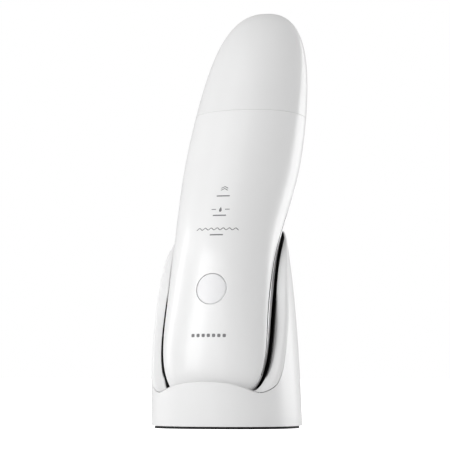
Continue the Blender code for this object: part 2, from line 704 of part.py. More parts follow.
def make_electronics():
    """The main board behind the button, the small board behind the mode marks, and the battery."""
    board_middle = BOARD_FACE - BOARD_THICK / 2
    board_frame = BUTTON_FRAME @ at(0, -1.5 * MM, board_middle)
    box("main_board", (28 * MM, 50 * MM, BOARD_THICK), board_frame, "circuit_board")
    chip = BUTTON_FRAME @ at(-4 * MM, -14 * MM, BOARD_FACE + GAP + 0.5 * MM)
    box("control_chip", (7 * MM, 7 * MM, 1.0 * MM), chip, "black_plastic")
    coil = BUTTON_FRAME @ at(6 * MM, 10 * MM, BOARD_FACE + GAP + 1.5 * MM)
    box("step_up_transformer", (8 * MM, 8 * MM, 3.0 * MM), coil, "black_plastic", 0.5 * MM)
    battery = leaning((0, -4.7 * MM, 49 * MM), radians(17))
    box("battery", (27 * MM, 7 * MM, 40 * MM), battery, "battery_wrap", 1.5 * MM)
    marks = front_frame(0.503)
    box("indicator_board", (12 * MM, 26 * MM, 1.0 * MM), marks @ at(0, 0, -5.0 * MM), "circuit_board")
    for i, y in enumerate((-9.4, 0.0, 9.4)):
        led = marks @ at(0, y * MM, -4.5 * MM + GAP + 0.4 * MM)
        box(f"mode_led_{i + 1}", (1.6 * MM, 1.2 * MM, 0.8 * MM), led, "led_lens")


# ---------------------------------------------------------------- cap, collar and blade

TOP_FRAME = leaning(TOP_AXIS_START, TOP_AXIS_LEAN)
COLLAR_LOW = 0.757
COLLAR_HIGH = 0.822
COLLAR_INSET = 2.2 * MM
COLLAR_PLATE_Z = 7.2 * MM
BLADE_ROOT = -9 * MM
BLADE_STRAIGHT = 24 * MM
BLADE_BEND_R = 20 * MM
BLADE_BEND = radians(18)
BLADE_END = 10 * MM
BLADE_HALF_WIDTH = 11 * MM
TONGUE_HALF_WIDTH = 3.2 * MM


def make_cap():
    cap = handset_solid("cap", CAP_SEAM + 0.002, 1.0, 0.0, "white_gloss")
    boolean(cap, handset_solid("cut_cap_hollow", CAP_SEAM - 0.05, 1.0, -CAP_WALL))


def make_collar():
    """The neck that closes the shells and guides the cap, with a slot for the blade's seal."""
    rows = [handset_ring(u, 32, COLLAR_INSET) for u in np.linspace(COLLAR_LOW, COLLAR_HIGH, 4)]
    middle = sum(rows[-1], Vector()) / len(rows[-1])
    for share in (0.6, 0.0):
        rows.append([middle + (point - middle) * share for point in rows[3]])
    collar = thicken(surface("neck_collar", rows, closed=True, material="white_satin"), 1.4 * MM)
    through = TOP_FRAME @ at(0, 0, COLLAR_PLATE_Z)
    boolean(collar, box("cut_seal_slot", (25.6 * MM, 4.6 * MM, 12 * MM), through))
    seal = box("blade_seal", (25 * MM, 4.0 * MM, 3.6 * MM), through, "black_rubber", 0.4 * MM)
    boolean(seal, box("cut_blade_slot", (2 * BLADE_HALF_WIDTH + 0.8 * MM, 1.5 * MM, 12 * MM), through))


def make_blade():
    """The bent steel spatula: its side view, trimmed to its front view."""
    centre = [(0.0, BLADE_ROOT), (0.0, BLADE_STRAIGHT)]
    for angle in np.linspace(0, BLADE_BEND, 5)[1:]:
        centre.append((-BLADE_BEND_R * (1 - cos(angle)), BLADE_STRAIGHT + BLADE_BEND_R * sin(angle)))
    y, z = centre[-1]
    centre.append((y - BLADE_END * sin(BLADE_BEND), z + BLADE_END * cos(BLADE_BEND)))
    half = BLADE_THICK / 2
    halves = [half] * (len(centre) - 1) + [half * 0.4]
    back = [(y + h, z) for (y, z), h in zip(centre, halves)]
    front = [(y - h, z) for (y, z), h in zip(centre, halves)]
    blade = extruded("blade", back + front[::-1], 15 * MM, TOP_FRAME @ SIDE_VIEW, "steel")
    tip_z = centre[-1][1]
    corner = 4 * MM
    right = [(TONGUE_HALF_WIDTH, BLADE_ROOT - MM), (TONGUE_HALF_WIDTH, -2.2 * MM),
             (BLADE_HALF_WIDTH, 1.5 * MM)]
    for angle in np.linspace(0, pi / 2, 6):
        right.append((BLADE_HALF_WIDTH - corner * (1 - cos(angle)),
                      tip_z - 0.4 * MM - corner * (1 - sin(angle))))
    outline = right + [(-x, z) for x, z in right[::-1]]
    boolean(blade, extruded("keep_blade_outline", outline, 15 * MM, TOP_FRAME @ FRONT_VIEW), "INTERSECT")


def make_transducer():
    """Horn, piezo stack, back mass and bolt on the blade's axis, in a soft ring and its holder."""
    horn = [(0, -3), (4, -3), (4, -12), (6.5, -15), (7.5, -15.8), (7.5, -19.2), (6.5, -19.2), (6.5, -24),
            (2.0, -24), (2.0, -19), (0, -19)]
    body = turned("transducer_horn", in_mm(horn), TOP_FRAME, "aluminium")
    boolean(body, box("cut_horn_slot", (10 * MM, 1.4 * MM, 7 * MM), TOP_FRAME @ at(0, 0, -6.0 * MM)))
    rings = (("piezo_ring_front", -24.3, -27.0, 6.5, "ceramic"),
             ("piezo_electrode", -27.3, -27.7, 7.2, "brass"),
             ("piezo_ring_back", -28.0, -30.7, 6.5, "ceramic"),
             ("transducer_back_mass", -31.0, -38.0, 6.5, "steel"))
    for name, high, low, radius, material in rings:
        ring = [(2.0, high), (radius, high), (radius, low), (2.0, low)]
        turned(name, in_mm(ring), TOP_FRAME, material, closed=True)
    bolt = [(0, -19.6), (1.6, -19.6), (1.6, -38.3), (3.2, -38.3),
            (3.2, -41), (1.5, -41), (1.5, -39.6), (0, -39.6)]
    turned("transducer_bolt", in_mm(bolt), TOP_FRAME, "steel", steps=12)
    damper = [(7.8, -15.2), (8.8, -15.2), (8.8, -19.8), (7.8, -19.8)]
    turned("transducer_damper", in_mm(damper), TOP_FRAME, "black_rubber", closed=True)
    ring = [(9.1, -14.6), (10.4, -14.6), (10.4, -20.4), (9.1, -20.4)]
    holder = turned("transducer_holder", in_mm(ring), TOP_FRAME, "white_satin", closed=True)
    for side, sign in SIDES:
        place = TOP_FRAME @ at(sign * 14.3 * MM, 0, -17.5 * MM)
        lug = box(f"add_lug_{side}", (9 * MM, 5 * MM, 4 * MM), place)
        boolean(holder, lug, "UNION")


# ---------------------------------------------------------------- build

make_dock_shell()
make_dock_cradle()
make_dock_base()
for side_name, side_sign in SIDES:
    make_contact_pin(side_name, side_sign)
make_shells()
make_side_strips()
make_charge_contacts()
make_button()
make_electronics()
make_cap()
make_collar()
make_blade()
make_transducer()
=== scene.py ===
"""Looks of the skin scrubber in its dock: fine skins, printed marks, materials, floor, light and camera."""

from math import cos, pi, radians, sin

import bmesh
import bpy
import numpy as np
from mathutils import Matrix, Vector


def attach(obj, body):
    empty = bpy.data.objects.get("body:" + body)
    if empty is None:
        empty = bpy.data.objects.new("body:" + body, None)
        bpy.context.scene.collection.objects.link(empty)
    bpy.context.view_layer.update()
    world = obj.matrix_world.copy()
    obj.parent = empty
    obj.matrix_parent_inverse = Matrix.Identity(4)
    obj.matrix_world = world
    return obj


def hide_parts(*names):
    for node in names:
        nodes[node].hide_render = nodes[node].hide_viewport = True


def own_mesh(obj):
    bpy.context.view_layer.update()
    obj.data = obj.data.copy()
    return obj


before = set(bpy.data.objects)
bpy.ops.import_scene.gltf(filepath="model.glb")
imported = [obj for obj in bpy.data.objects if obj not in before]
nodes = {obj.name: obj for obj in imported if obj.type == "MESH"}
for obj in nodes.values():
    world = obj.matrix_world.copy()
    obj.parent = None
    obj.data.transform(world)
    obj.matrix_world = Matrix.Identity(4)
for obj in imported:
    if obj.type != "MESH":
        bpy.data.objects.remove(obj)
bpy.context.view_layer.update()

MM = 0.001

# ---------------- the form, as the CAD has it

# Share of the spine, then the spine's y and z, half width, depth ahead and depth behind in mm
STATIONS = (
    (0.00, -18.0, 9.2, 24.1, 6.5, 10.5),
    (0.15, -13.2, 33.8, 22.4, 9.1, 11.1),
    (0.30, -7.0, 55.1, 21.8, 11.5, 11.7),
    (0.45, 1.2, 76.5, 22.0, 13.4, 12.2),
    (0.60, 14.3, 98.5, 24.0, 14.4, 12.6),
    (0.75, 26.9, 121.7, 25.0, 14.4, 12.6),
    (0.88, 38.7, 146.5, 26.7, 14.0, 12.6),
    (1.00, 50.8, 174.0, 29.9, 13.6, 12.6),
)
SECTION_POWER = 2.2
TIP_LENGTH = 0.391
TIP_POWER = 2.46
FOOT_LENGTH = 0.231
FOOT_POWER = 2.96
SECTION_TILT = radians(11.7)
TIP_EXTRA_TILT = radians(7.6)
TILT_START = 0.72
CAP_SEAM = 0.785
# Share of the spine, and how far ahead of it the side seam lies, as a share of the section's depth
SIDE_SEAM = ((0.0, 0.0), (0.10, 0.09), (0.22, 0.20), (0.36, 0.13), (0.47, -0.05), (0.785, -0.42))

# Height, then half width, depth ahead and depth behind in mm
DOCK_LEVELS = (
    (0.0, 30.3, 25.9, 26.0),
    (30.0, 29.3, 25.7, 25.7),
    (60.0, 27.3, 24.2, 24.5),
    (90.0, 23.5, 22.5, 23.4),
)
DOCK_POWER = 2.35
DOCK_CENTRE = 0.34 * MM
DOCK_LEAN = 0.0636
DOCK_BOTTOM = 1.0 * MM
# The rim in the side view, from the front to the back: y and z in mm
RIM_LINE = ((-32.0, 22.0), (-25.6, 18.4), (-20.8, 14.9), (-14.6, 20.6), (-11.3, 30.1), (-8.4, 41.0),
            (-5.9, 54.0), (-2.6, 65.0), (3.6, 75.0), (10.5, 80.2), (18.5, 77.8), (34.0, 69.0))
CAVITY_GAP = 1.4 * MM
BUTTON_U = 0.289
BUTTON_R = 6.3 * MM
CONTACT_X = 6 * MM
CONTACT_Y = -14.8 * MM

# How finely shapes are worked out
NORMAL_STEP_U = 0.0015
NORMAL_STEP_ANGLE = 0.004
SPINE_MARGIN = 0.003
HALVINGS = 36


def natural_spline(knots, values):
    """A smooth function through the values at the knots, for whole arrays at once."""
    x = np.array(knots, float)
    y = np.array(values, float)
    h = np.diff(x)
    system = np.eye(len(x))
    right = np.zeros(y.shape)
    for i in range(1, len(x) - 1):
        system[i, i - 1:i + 2] = (h[i - 1], 2 * (h[i - 1] + h[i]), h[i])
        right[i] = 6 * ((y[i + 1] - y[i]) / h[i] - (y[i] - y[i - 1]) / h[i - 1])
    bend = np.linalg.solve(system, right)

    def value(t):
        t = np.asarray(t, float)
        i = np.clip(np.searchsorted(x, t) - 1, 0, len(x) - 2)
        a = (x[i + 1] - t) / h[i]
        b = (t - x[i]) / h[i]
        ca = (a ** 3 - a) * h[i] ** 2 / 6
        cb = (b ** 3 - b) * h[i] ** 2 / 6
        if y.ndim > 1:
            a, b, ca, cb = (v[..., None] for v in (a, b, ca, cb))
        return a * y[i] + b * y[i + 1] + ca * bend[i] + cb * bend[i + 1]

    return value


def in_metres(rows):
    """The rows without their first value, in metres."""
    return [[v * MM for v in row[1:]] for row in rows]


spine_values = natural_spline([row[0] for row in STATIONS], in_metres(STATIONS))
seam_share = natural_spline([row[0] for row in SIDE_SEAM], [row[1] for row in SIDE_SEAM])
dock_values = natural_spline([row[0] * MM for row in DOCK_LEVELS], in_metres(DOCK_LEVELS))


def handset(u, angle):
    """Points of the handset's outside: angle 0 is the +X side and a quarter turn is the front."""
    u, angle = np.broadcast_arrays(np.asarray(u, float), np.asarray(angle, float))
    values = spine_values(u)
    tip = np.maximum(0.0, (u - 1 + TIP_LENGTH) / TIP_LENGTH)
    foot = np.maximum(0.0, (FOOT_LENGTH - u) / FOOT_LENGTH)
    size = np.maximum(0.0, 1 - tip ** TIP_POWER) ** (1 / TIP_POWER)
    size = size * np.maximum(0.0, 1 - foot ** FOOT_POWER) ** (1 / FOOT_POWER)
    tilt = SECTION_TILT + TIP_EXTRA_TILT * np.maximum(0.0, (u - TILT_START) / (1 - TILT_START)) ** 2
    c = np.cos(angle)
    s = np.sin(angle)
    across = np.sign(c) * np.abs(c) ** (2 / SECTION_POWER)
    ahead = np.sign(s) * np.abs(s) ** (2 / SECTION_POWER)
    half_width = values[..., 2] * size
    depth = ahead * np.where(s > 0, values[..., 3], values[..., 4]) * size
    y = values[..., 0] - np.cos(tilt) * depth
    z = values[..., 1] + np.sin(tilt) * depth
    return np.stack([half_width * across, y, z], axis=-1)


def handset_offset(u, angle, offset):
    """Points that lie off the handset's outside by a distance along its normal."""
    u = np.asarray(u, float)
    angle = np.asarray(angle, float)
    low = np.clip(u - NORMAL_STEP_U, SPINE_MARGIN, 1 - SPINE_MARGIN)
    high = np.clip(u + NORMAL_STEP_U, SPINE_MARGIN, 1 - SPINE_MARGIN)
    along = handset(high, angle) - handset(low, angle)
    round_it = handset(u, angle + NORMAL_STEP_ANGLE) - handset(u, angle - NORMAL_STEP_ANGLE)
    normal = np.cross(along, round_it)
    normal /= np.maximum(np.linalg.norm(normal, axis=-1, keepdims=True), 1e-12)
    return handset(u, angle) + np.asarray(offset)[..., None] * normal


def seam_angle(u, shift=0.0):
    """The angle at which the side seam crosses the section at u, moved forwards by a share."""
    share = seam_share(u) + shift
    return np.arcsin(np.minimum(1.0, np.abs(share)) ** (SECTION_POWER / 2)) * np.sign(share)


def crowded(low, high, steps, share):
    """Values from low to high, closer together at both ends: evenly at share 0, by a cosine at share 1."""
    t = np.linspace(0, 1, steps + 1)
    eased = 0.5 - 0.5 * np.cos(pi * t)
    return low + (high - low) * (eased * share + t * (1 - share))


def whole_turn(count):
    """Angles round a full turn."""
    return np.linspace(0, 2 * pi, count + 1)[:-1]


def crossing(low, high, shape, is_over):
    """The last value from low to high before is_over(value) turns true, for an array of the shape."""
    low = np.full(shape, low)
    high = np.full(shape, high)
    for _ in range(HALVINGS):
        middle = (low + high) / 2
        over = is_over(middle)
        high = np.where(over, middle, high)
        low = np.where(over, low, middle)
    return low


def running_length(points):
    """The distance along a line of points, at each of them."""
    return np.concatenate([[0], np.cumsum(np.linalg.norm(np.diff(points, axis=0), axis=1))])


def mirrored(points):
    """The points on the other side of the plane X = 0."""
    return points * np.array([-1, 1, 1])


# ---------------- mesh helpers

def finish_mesh(name, bm, body, stands_for, material, smooth=35, weld=0.003 * MM):
    """Make a piece of a mesh, let it ride on its body and stand for its CAD nodes."""
    bmesh.ops.remove_doubles(bm, verts=bm.verts, dist=weld)
    bmesh.ops.recalc_face_normals(bm, faces=bm.faces)
    mesh = bpy.data.meshes.new(name)
    bm.to_mesh(mesh)
    bm.free()
    mesh.shade_smooth()
    mesh.set_sharp_from_angle(angle=radians(smooth))
    obj = bpy.data.objects.new(name, mesh)
    bpy.context.scene.collection.objects.link(obj)
    obj.data.materials.append(material)
    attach(obj, body)
    if stands_for:
        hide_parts(*stands_for)
    return obj


def grid_faces(bm, grid, closed):
    """Faces between rows of mesh vertices; closed joins the ends of each row."""
    count = len(grid[0])
    for low, high in zip(grid, grid[1:]):
        for j in range(count if closed else count - 1):
            k = (j + 1) % count
            corner = [low[j], low[k], high[k], high[j]]
            if len(set(corner)) == 4:
                bm.faces.new(corner)


def add_rows(bm, rows):
    """Mesh vertices at rows of points."""
    return [[bm.verts.new(Vector(point)) for point in row] for row in rows]


def wall(obj, thickness):
    """Give an open skin its wall, inwards."""
    solid = obj.modifiers.new("wall", "SOLIDIFY")
    solid.thickness = thickness
    solid.offset = -1.0
    solid.use_even_offset = True
    return obj


def carve(obj, cutter, smooth=40):
    """Cut a closed form out of a piece, and keep the result as its plain mesh."""
    mesh = bpy.data.meshes.new("cutter")
    bmesh.ops.recalc_face_normals(cutter, faces=cutter.faces)
    cutter.to_mesh(mesh)
    cutter.free()
    tool = bpy.data.objects.new("cutter", mesh)
    bpy.context.scene.collection.objects.link(tool)
    cut = obj.modifiers.new("cut", "BOOLEAN")
    cut.object = tool
    cut.solver = "EXACT"
    graph = bpy.context.evaluated_depsgraph_get()
    solid = bpy.data.meshes.new_from_object(obj.evaluated_get(graph), depsgraph=graph)
    obj.modifiers.clear()
    obj.data = solid
    bpy.data.objects.remove(tool)
    solid.shade_smooth()
    solid.set_sharp_from_angle(angle=radians(smooth))
    return obj


def add_prism(bm, place, outline, low, high):
    """A closed prism over a flat outline, from one local height to another."""
    rings = [[bm.verts.new(place @ Vector((x, y, z))) for x, y in outline] for z in (low, high)]
    grid_faces(bm, rings, closed=True)
    bm.faces.new(rings[0])
    bm.faces.new(rings[1])


def circle(radius, steps=48):
    """A round outline."""
    return [(radius * cos(2 * pi * i / steps), radius * sin(2 * pi * i / steps)) for i in range(steps)]


def stadium(half_width, half_height, steps=16):
    """A slot outline with round ends."""
    reach = half_width - half_height
    turns = np.linspace(-pi / 2, pi / 2, steps)
    right = [(reach + half_height * cos(turn), half_height * sin(turn)) for turn in turns]
    return right + [(-x, -y) for x, y in right]


def soften(obj, width, angle=50, segments=3):
    """Round the sharp edges a little."""
    bevel = obj.modifiers.new("soft_edges", "BEVEL")
    bevel.width = width
    bevel.segments = segments
    bevel.limit_method = "ANGLE"
    bevel.angle_limit = radians(angle)
    bevel.harden_normals = False
    return obj


# ---------------- materials

def new_material(name):
    """A material with its node tree and its shader."""
    material = bpy.data.materials.new(name)
    material.use_nodes = True
    tree = material.node_tree
    return material, tree, tree.nodes["Principled BSDF"]


def place_of(tree):
    """Coordinates in metres, fixed to the object."""
    return tree.nodes.new("ShaderNodeTexCoord").outputs["Object"]


def noise(tree, scale, detail=3.0, roughness=0.55, stretch=None):
    """A noise value over the surface, from 0 to 1; scale is in cells per metre."""
    texture = tree.nodes.new("ShaderNodeTexNoise")
    texture.inputs["Scale"].default_value = scale
    texture.inputs["Detail"].default_value = detail
    texture.inputs["Roughness"].default_value = roughness
    if stretch is None:
        tree.links.new(place_of(tree), texture.inputs["Vector"])
    else:
        mapping = tree.nodes.new("ShaderNodeMapping")
        mapping.inputs["Scale"].default_value = stretch
        tree.links.new(place_of(tree), mapping.inputs["Vector"])
        tree.links.new(mapping.outputs["Vector"], texture.inputs["Vector"])
    return texture.outputs["Fac"]


def ramp(tree, value, stops):
    """Colours between the stops (position, colour)."""
    node = tree.nodes.new("ShaderNodeValToRGB")
    elements = node.color_ramp.elements
    elements[0].position, elements[1].position = stops[0][0], stops[-1][0]
    elements[0].color, elements[1].color = (*stops[0][1], 1), (*stops[-1][1], 1)
    for position, colour in stops[1:-1]:
        element = elements.new(position)
        element.color = (*colour, 1)
    tree.links.new(value, node.inputs["Fac"])
    return node.outputs["Color"]


def between(tree, value, low, high):
    """The value from 0 to 1 moved to the range low to high."""
    node = tree.nodes.new("ShaderNodeMapRange")
    node.inputs["To Min"].default_value = low
    node.inputs["To Max"].default_value = high
    tree.links.new(value, node.inputs["Value"])
    return node.outputs["Result"]


def add_bump(tree, shader, height, distance):
    """A surface texture of the distance's depth."""
    bump = tree.nodes.new("ShaderNodeBump")
    bump.inputs["Strength"].default_value = 1.0
    bump.inputs["Distance"].default_value = distance
    tree.links.new(height, bump.inputs["Height"])
    tree.links.new(bump.outputs["Normal"], shader.inputs["Normal"])


def shade(colour, factor):
    """The colour made darker or lighter."""
    return tuple(min(1.0, c * factor) for c in colour)


def moulded(name, colour, roughness, grain, depth, vary=0.02, coat=0.0):
    """Moulded plastic: slow flow variation of tone, fine grain in its gloss and a faint surface texture."""
    material, tree, shader = new_material(name)
    slow = noise(tree, 38.0, 2.0)
    darkest, lightest = shade(colour, 1 - vary), shade(colour, 1 + vary * 0.6)
    tone = ramp(tree, slow, ((0.3, darkest), (0.5, colour), (0.72, lightest)))
    tree.links.new(tone, shader.inputs["Base Color"])
    fine = noise(tree, grain, 4.0)
    tree.links.new(between(tree, fine, roughness * 0.86, roughness * 1.14), shader.inputs["Roughness"])
    shader.inputs["IOR"].default_value = 1.49
    shader.inputs["Coat Weight"].default_value = coat
    shader.inputs["Coat Roughness"].default_value = 0.12
    add_bump(tree, shader, fine, depth)
    return material


def metal(name, colour, roughness, stretch, grain=900.0, depth=0.004 * MM, vary=0.08):
    """Metal with a fine directional grain."""
    material, tree, shader = new_material(name)
    streaks = noise(tree, grain, 5.0, 0.6, stretch)
    tone = ramp(tree, streaks, ((0.25, shade(colour, 1 - vary)), (0.75, shade(colour, 1 + vary * 0.5))))
    tree.links.new(tone, shader.inputs["Base Color"])
    shader.inputs["Metallic"].default_value = 1.0
    tree.links.new(between(tree, streaks, roughness * 0.7, roughness * 1.3), shader.inputs["Roughness"])
    add_bump(tree, shader, streaks, depth)
    return material


def rubber(name, colour):
    """Matt rubber with a fine, uneven grain."""
    material, tree, shader = new_material(name)
    fine = noise(tree, 2600.0, 5.0)
    tone = ramp(tree, fine, ((0.3, shade(colour, 0.7)), (0.7, shade(colour, 1.4))))
    tree.links.new(tone, shader.inputs["Base Color"])
    tree.links.new(between(tree, fine, 0.62, 0.88), shader.inputs["Roughness"])
    add_bump(tree, shader, fine, 0.03 * MM)
    return material


def board(name):
    """Solder mask over copper tracks: two greens in a track pattern, with a step at the copper's edges."""
    material, tree, shader = new_material(name)
    tracks = tree.nodes.new("ShaderNodeTexBrick")
    tracks.inputs["Scale"].default_value = 260.0
    tracks.inputs["Mortar Size"].default_value = 0.06
    tracks.inputs["Color1"].default_value = (0.012, 0.115, 0.045, 1)
    tracks.inputs["Color2"].default_value = (0.016, 0.150, 0.060, 1)
    tracks.inputs["Mortar"].default_value = (0.030, 0.230, 0.100, 1)
    tree.links.new(place_of(tree), tracks.inputs["Vector"])
    tree.links.new(tracks.outputs["Color"], shader.inputs["Base Color"])
    fine = noise(tree, 1800.0)
    tree.links.new(between(tree, fine, 0.28, 0.42), shader.inputs["Roughness"])
    add_bump(tree, shader, tracks.outputs["Fac"], 0.03 * MM)
    return material


def speckled(name, colour, roughness):
    """Unglazed ceramic: pores and specks."""
    material, tree, shader = new_material(name)
    cells = tree.nodes.new("ShaderNodeTexVoronoi")
    cells.inputs["Scale"].default_value = 2500.0
    tree.links.new(place_of(tree), cells.inputs["Vector"])
    tone = ramp(tree, cells.outputs["Distance"], ((0.0, shade(colour, 0.75)), (0.35, colour)))
    tree.links.new(tone, shader.inputs["Base Color"])
    shader.inputs["Roughness"].default_value = roughness
    add_bump(tree, shader, cells.outputs["Distance"], 0.02 * MM)
    return material


def lens(name):
    """A clear moulded lens over a small phosphor spot."""
    material, tree, shader = new_material(name)
    cells = noise(tree, 1500.0, 3.0)
    tone = ramp(tree, cells, ((0.35, (0.86, 0.72, 0.30)), (0.6, (0.95, 0.93, 0.84))))
    tree.links.new(tone, shader.inputs["Base Color"])
    shader.inputs["Roughness"].default_value = 0.15
    shader.inputs["Transmission Weight"].default_value = 0.35
    add_bump(tree, shader, cells, 0.004 * MM)
    return material


WHITE = (0.80, 0.80, 0.80)
# Plastics: colour, roughness, grain in cells per metre, texture depth, variation of tone, clear coat
SHELL_WHITE = moulded("shell_white_plastic", WHITE, 0.30, 3200.0, 0.0016 * MM, 0.008, 0.25)
CAP_WHITE = moulded("cap_white_plastic", shade(WHITE, 0.975), 0.30, 3200.0, 0.0016 * MM, 0.008, 0.25)
DOCK_WHITE = moulded("dock_white_plastic", WHITE, 0.32, 3200.0, 0.0016 * MM, 0.008, 0.2)
RIM_WHITE = moulded("rim_satin_plastic", shade(WHITE, 0.99), 0.42, 3600.0, 0.004 * MM, 0.01)
SATIN_WHITE = moulded("inner_satin_plastic", shade(WHITE, 0.95), 0.48, 3000.0, 0.008 * MM, 0.015)
BUTTON_WHITE = moulded("button_plastic", (0.79, 0.79, 0.80), 0.34, 3600.0, 0.002 * MM, 0.008, 0.1)
BLACK_PLASTIC = moulded("black_moulded_plastic", (0.038, 0.038, 0.042), 0.46, 2800.0, 0.01 * MM, 0.2)
BATTERY = moulded("battery_foil", (0.55, 0.57, 0.60), 0.38, 700.0, 0.05 * MM, 0.08)
INK = moulded("grey_ink", (0.19, 0.19, 0.195), 0.55, 5200.0, 0.002 * MM, 0.10)
# Metals: colour, roughness, stretch of the grain, grain in cells per metre, texture depth, variation of tone
CHROME = metal("bright_plating", (0.80, 0.80, 0.81), 0.36, (1, 1, 0.2), 500.0, 0.0003 * MM, 0.03)
STEEL = metal("brushed_steel", (0.42, 0.42, 0.43), 0.34, (14, 14, 0.6), 160.0, 0.003 * MM)
SCREW_STEEL = metal("screw_steel", (0.55, 0.55, 0.56), 0.30, (3, 3, 3), 900.0, 0.006 * MM)
BRASS = metal("contact_gold", (0.83, 0.64, 0.27), 0.22, (2, 2, 2), 1400.0, 0.002 * MM)
ALUMINIUM = metal("turned_aluminium", (0.76, 0.76, 0.78), 0.30, (1, 6, 10), 400.0, 0.004 * MM)
# The rest
CERAMIC = speckled("piezo_ceramic", (0.70, 0.66, 0.56), 0.62)
RUBBER = rubber("black_rubber", (0.030, 0.030, 0.031))
BOARD = board("solder_mask")
LED = lens("led_lens")


# ---------------- handset skins

SEAM_GAP = 0.20 * MM
FRONT_WALL = 1.1 * MM
REAR_WALL = 1.8 * MM
CAP_WALL = 1.6 * MM
CAP_GAP = 0.0005
# Sizes of the rounded foot at its rows of points, as shares of its full size, and where its rows end
FOOT_SIZES = (0.003, 0.04, 0.08, 0.13, 0.18, 0.24, 0.30, 0.36, 0.42, 0.48, 0.54)
FOOT_END = 0.0155
FRONT_COLUMNS = 96
HOLE_PATCH_U = 0.058
HOLE_PATCH_COLUMNS = 17
BUTTON_CLEAR = 0.14 * MM
BUTTON_EDGE = 0.45 * MM
BUTTON_CROWN = 0.10 * MM
# Radius and height in mm of the button's back, from its skirt over its flange to the end of its stem
BUTTON_BACK = ((6.3, -2.0), (6.3, -2.6), (7.6, -2.6), (7.6, -3.6), (1.6, -3.6), (1.6, -4.4), (0.4, -4.4))
FRONT_LOW = 0.04
FRONT_HIGH = 0.72

# Along the spine the strip runs between these shares, a little lower than in the CAD
STRIP_LOW = 0.075
STRIP_HIGH = 0.70
STRIP_TAPER = 0.010
STRIP_END = 0.35
STRIP_CROWN = 0.06 * MM
STRIP_THICK = 0.34 * MM
# Shares of the section's depth behind the seam
STRIP_FRONT_EDGE = 0.046
STRIP_REAR_EDGE = 0.150
CHANNEL_REAR_EDGE = 0.165
CHANNEL_SLOPE = 0.008
CHANNEL_DEPTH = 1.1 * MM
CHANNEL_CLEAR = 0.003
CHANNEL_STEP = 0.001
# Shares behind the seam, and depths: the seal rises on both sides of the strip
GASKET_PROFILE = ((0.006, 0.06 * MM), (0.036, 0.06 * MM), (0.041, 0.44 * MM), (0.096, 0.44 * MM),
                  (0.152, 0.44 * MM), (0.1525, 0.10 * MM), (0.156, 0.10 * MM))
GASKET_THICK = 0.3 * MM

# The share of the spine and the x of each screw in the rear shell
SHELL_SCREWS = ((0.085, -11 * MM), (0.085, 11 * MM), (0.62, -17 * MM), (0.62, 17 * MM))
SCREW_SINK_R = 2.6 * MM
SCREW_SINK_DEPTH = 0.9 * MM
PAD_HOLE_R = 1.9 * MM
CUT_MARGIN = 3 * MM


def seam_shift(u, gap):
    """A gap as a share of the section's depth at u."""
    return gap / np.maximum(spine_values(u)[..., 3], 3 * MM)


def foot_stations(sizes):
    """Places along the spine at which the rounded foot has reached the given shares of its full size."""
    return FOOT_LENGTH * (1 - (1 - np.array(sizes) ** FOOT_POWER) ** (1 / FOOT_POWER))


button_point = Vector(handset(BUTTON_U, pi / 2))
button_up = Vector(handset(BUTTON_U + 0.004, pi / 2) - handset(BUTTON_U - 0.004, pi / 2)).normalized()
button_out = Vector((1, 0, 0)).cross(button_up)
button_turn = np.stack([(1, 0, 0), button_up, button_out])


def front_at(x, along, lift=0.0):
    """The point on the front at x, a distance up along the line that touches the front at the button."""
    x, along = np.broadcast_arrays(np.asarray(x, float), np.asarray(along, float))

    def angle_at(u):
        width = np.abs(handset(u, 0.0)[..., 0])
        share = np.clip(x / width, -0.999, 0.999)
        return np.arccos(np.sign(share) * np.abs(share) ** (SECTION_POWER / 2))

    def is_over(u):
        return (handset(u, angle_at(u)) - np.array(button_point)) @ np.array(button_up) > along

    u = crossing(FRONT_LOW, FRONT_HIGH, x.shape, is_over)
    return handset_offset(u, angle_at(u), lift)


def point_outwards(obj):
    """Turn an open skin so that its faces point away from the handset's spine."""
    mesh = obj.data
    face = mesh.polygons[len(mesh.polygons) // 2]
    heights = spine_values(np.linspace(0, 1, 101))
    nearest = heights[np.argmin(np.abs(heights[:, 1] - face.center.z))]
    away = face.center - Vector((0, nearest[0], nearest[1]))
    if face.normal.dot(away) < 0:
        mesh.flip_normals()


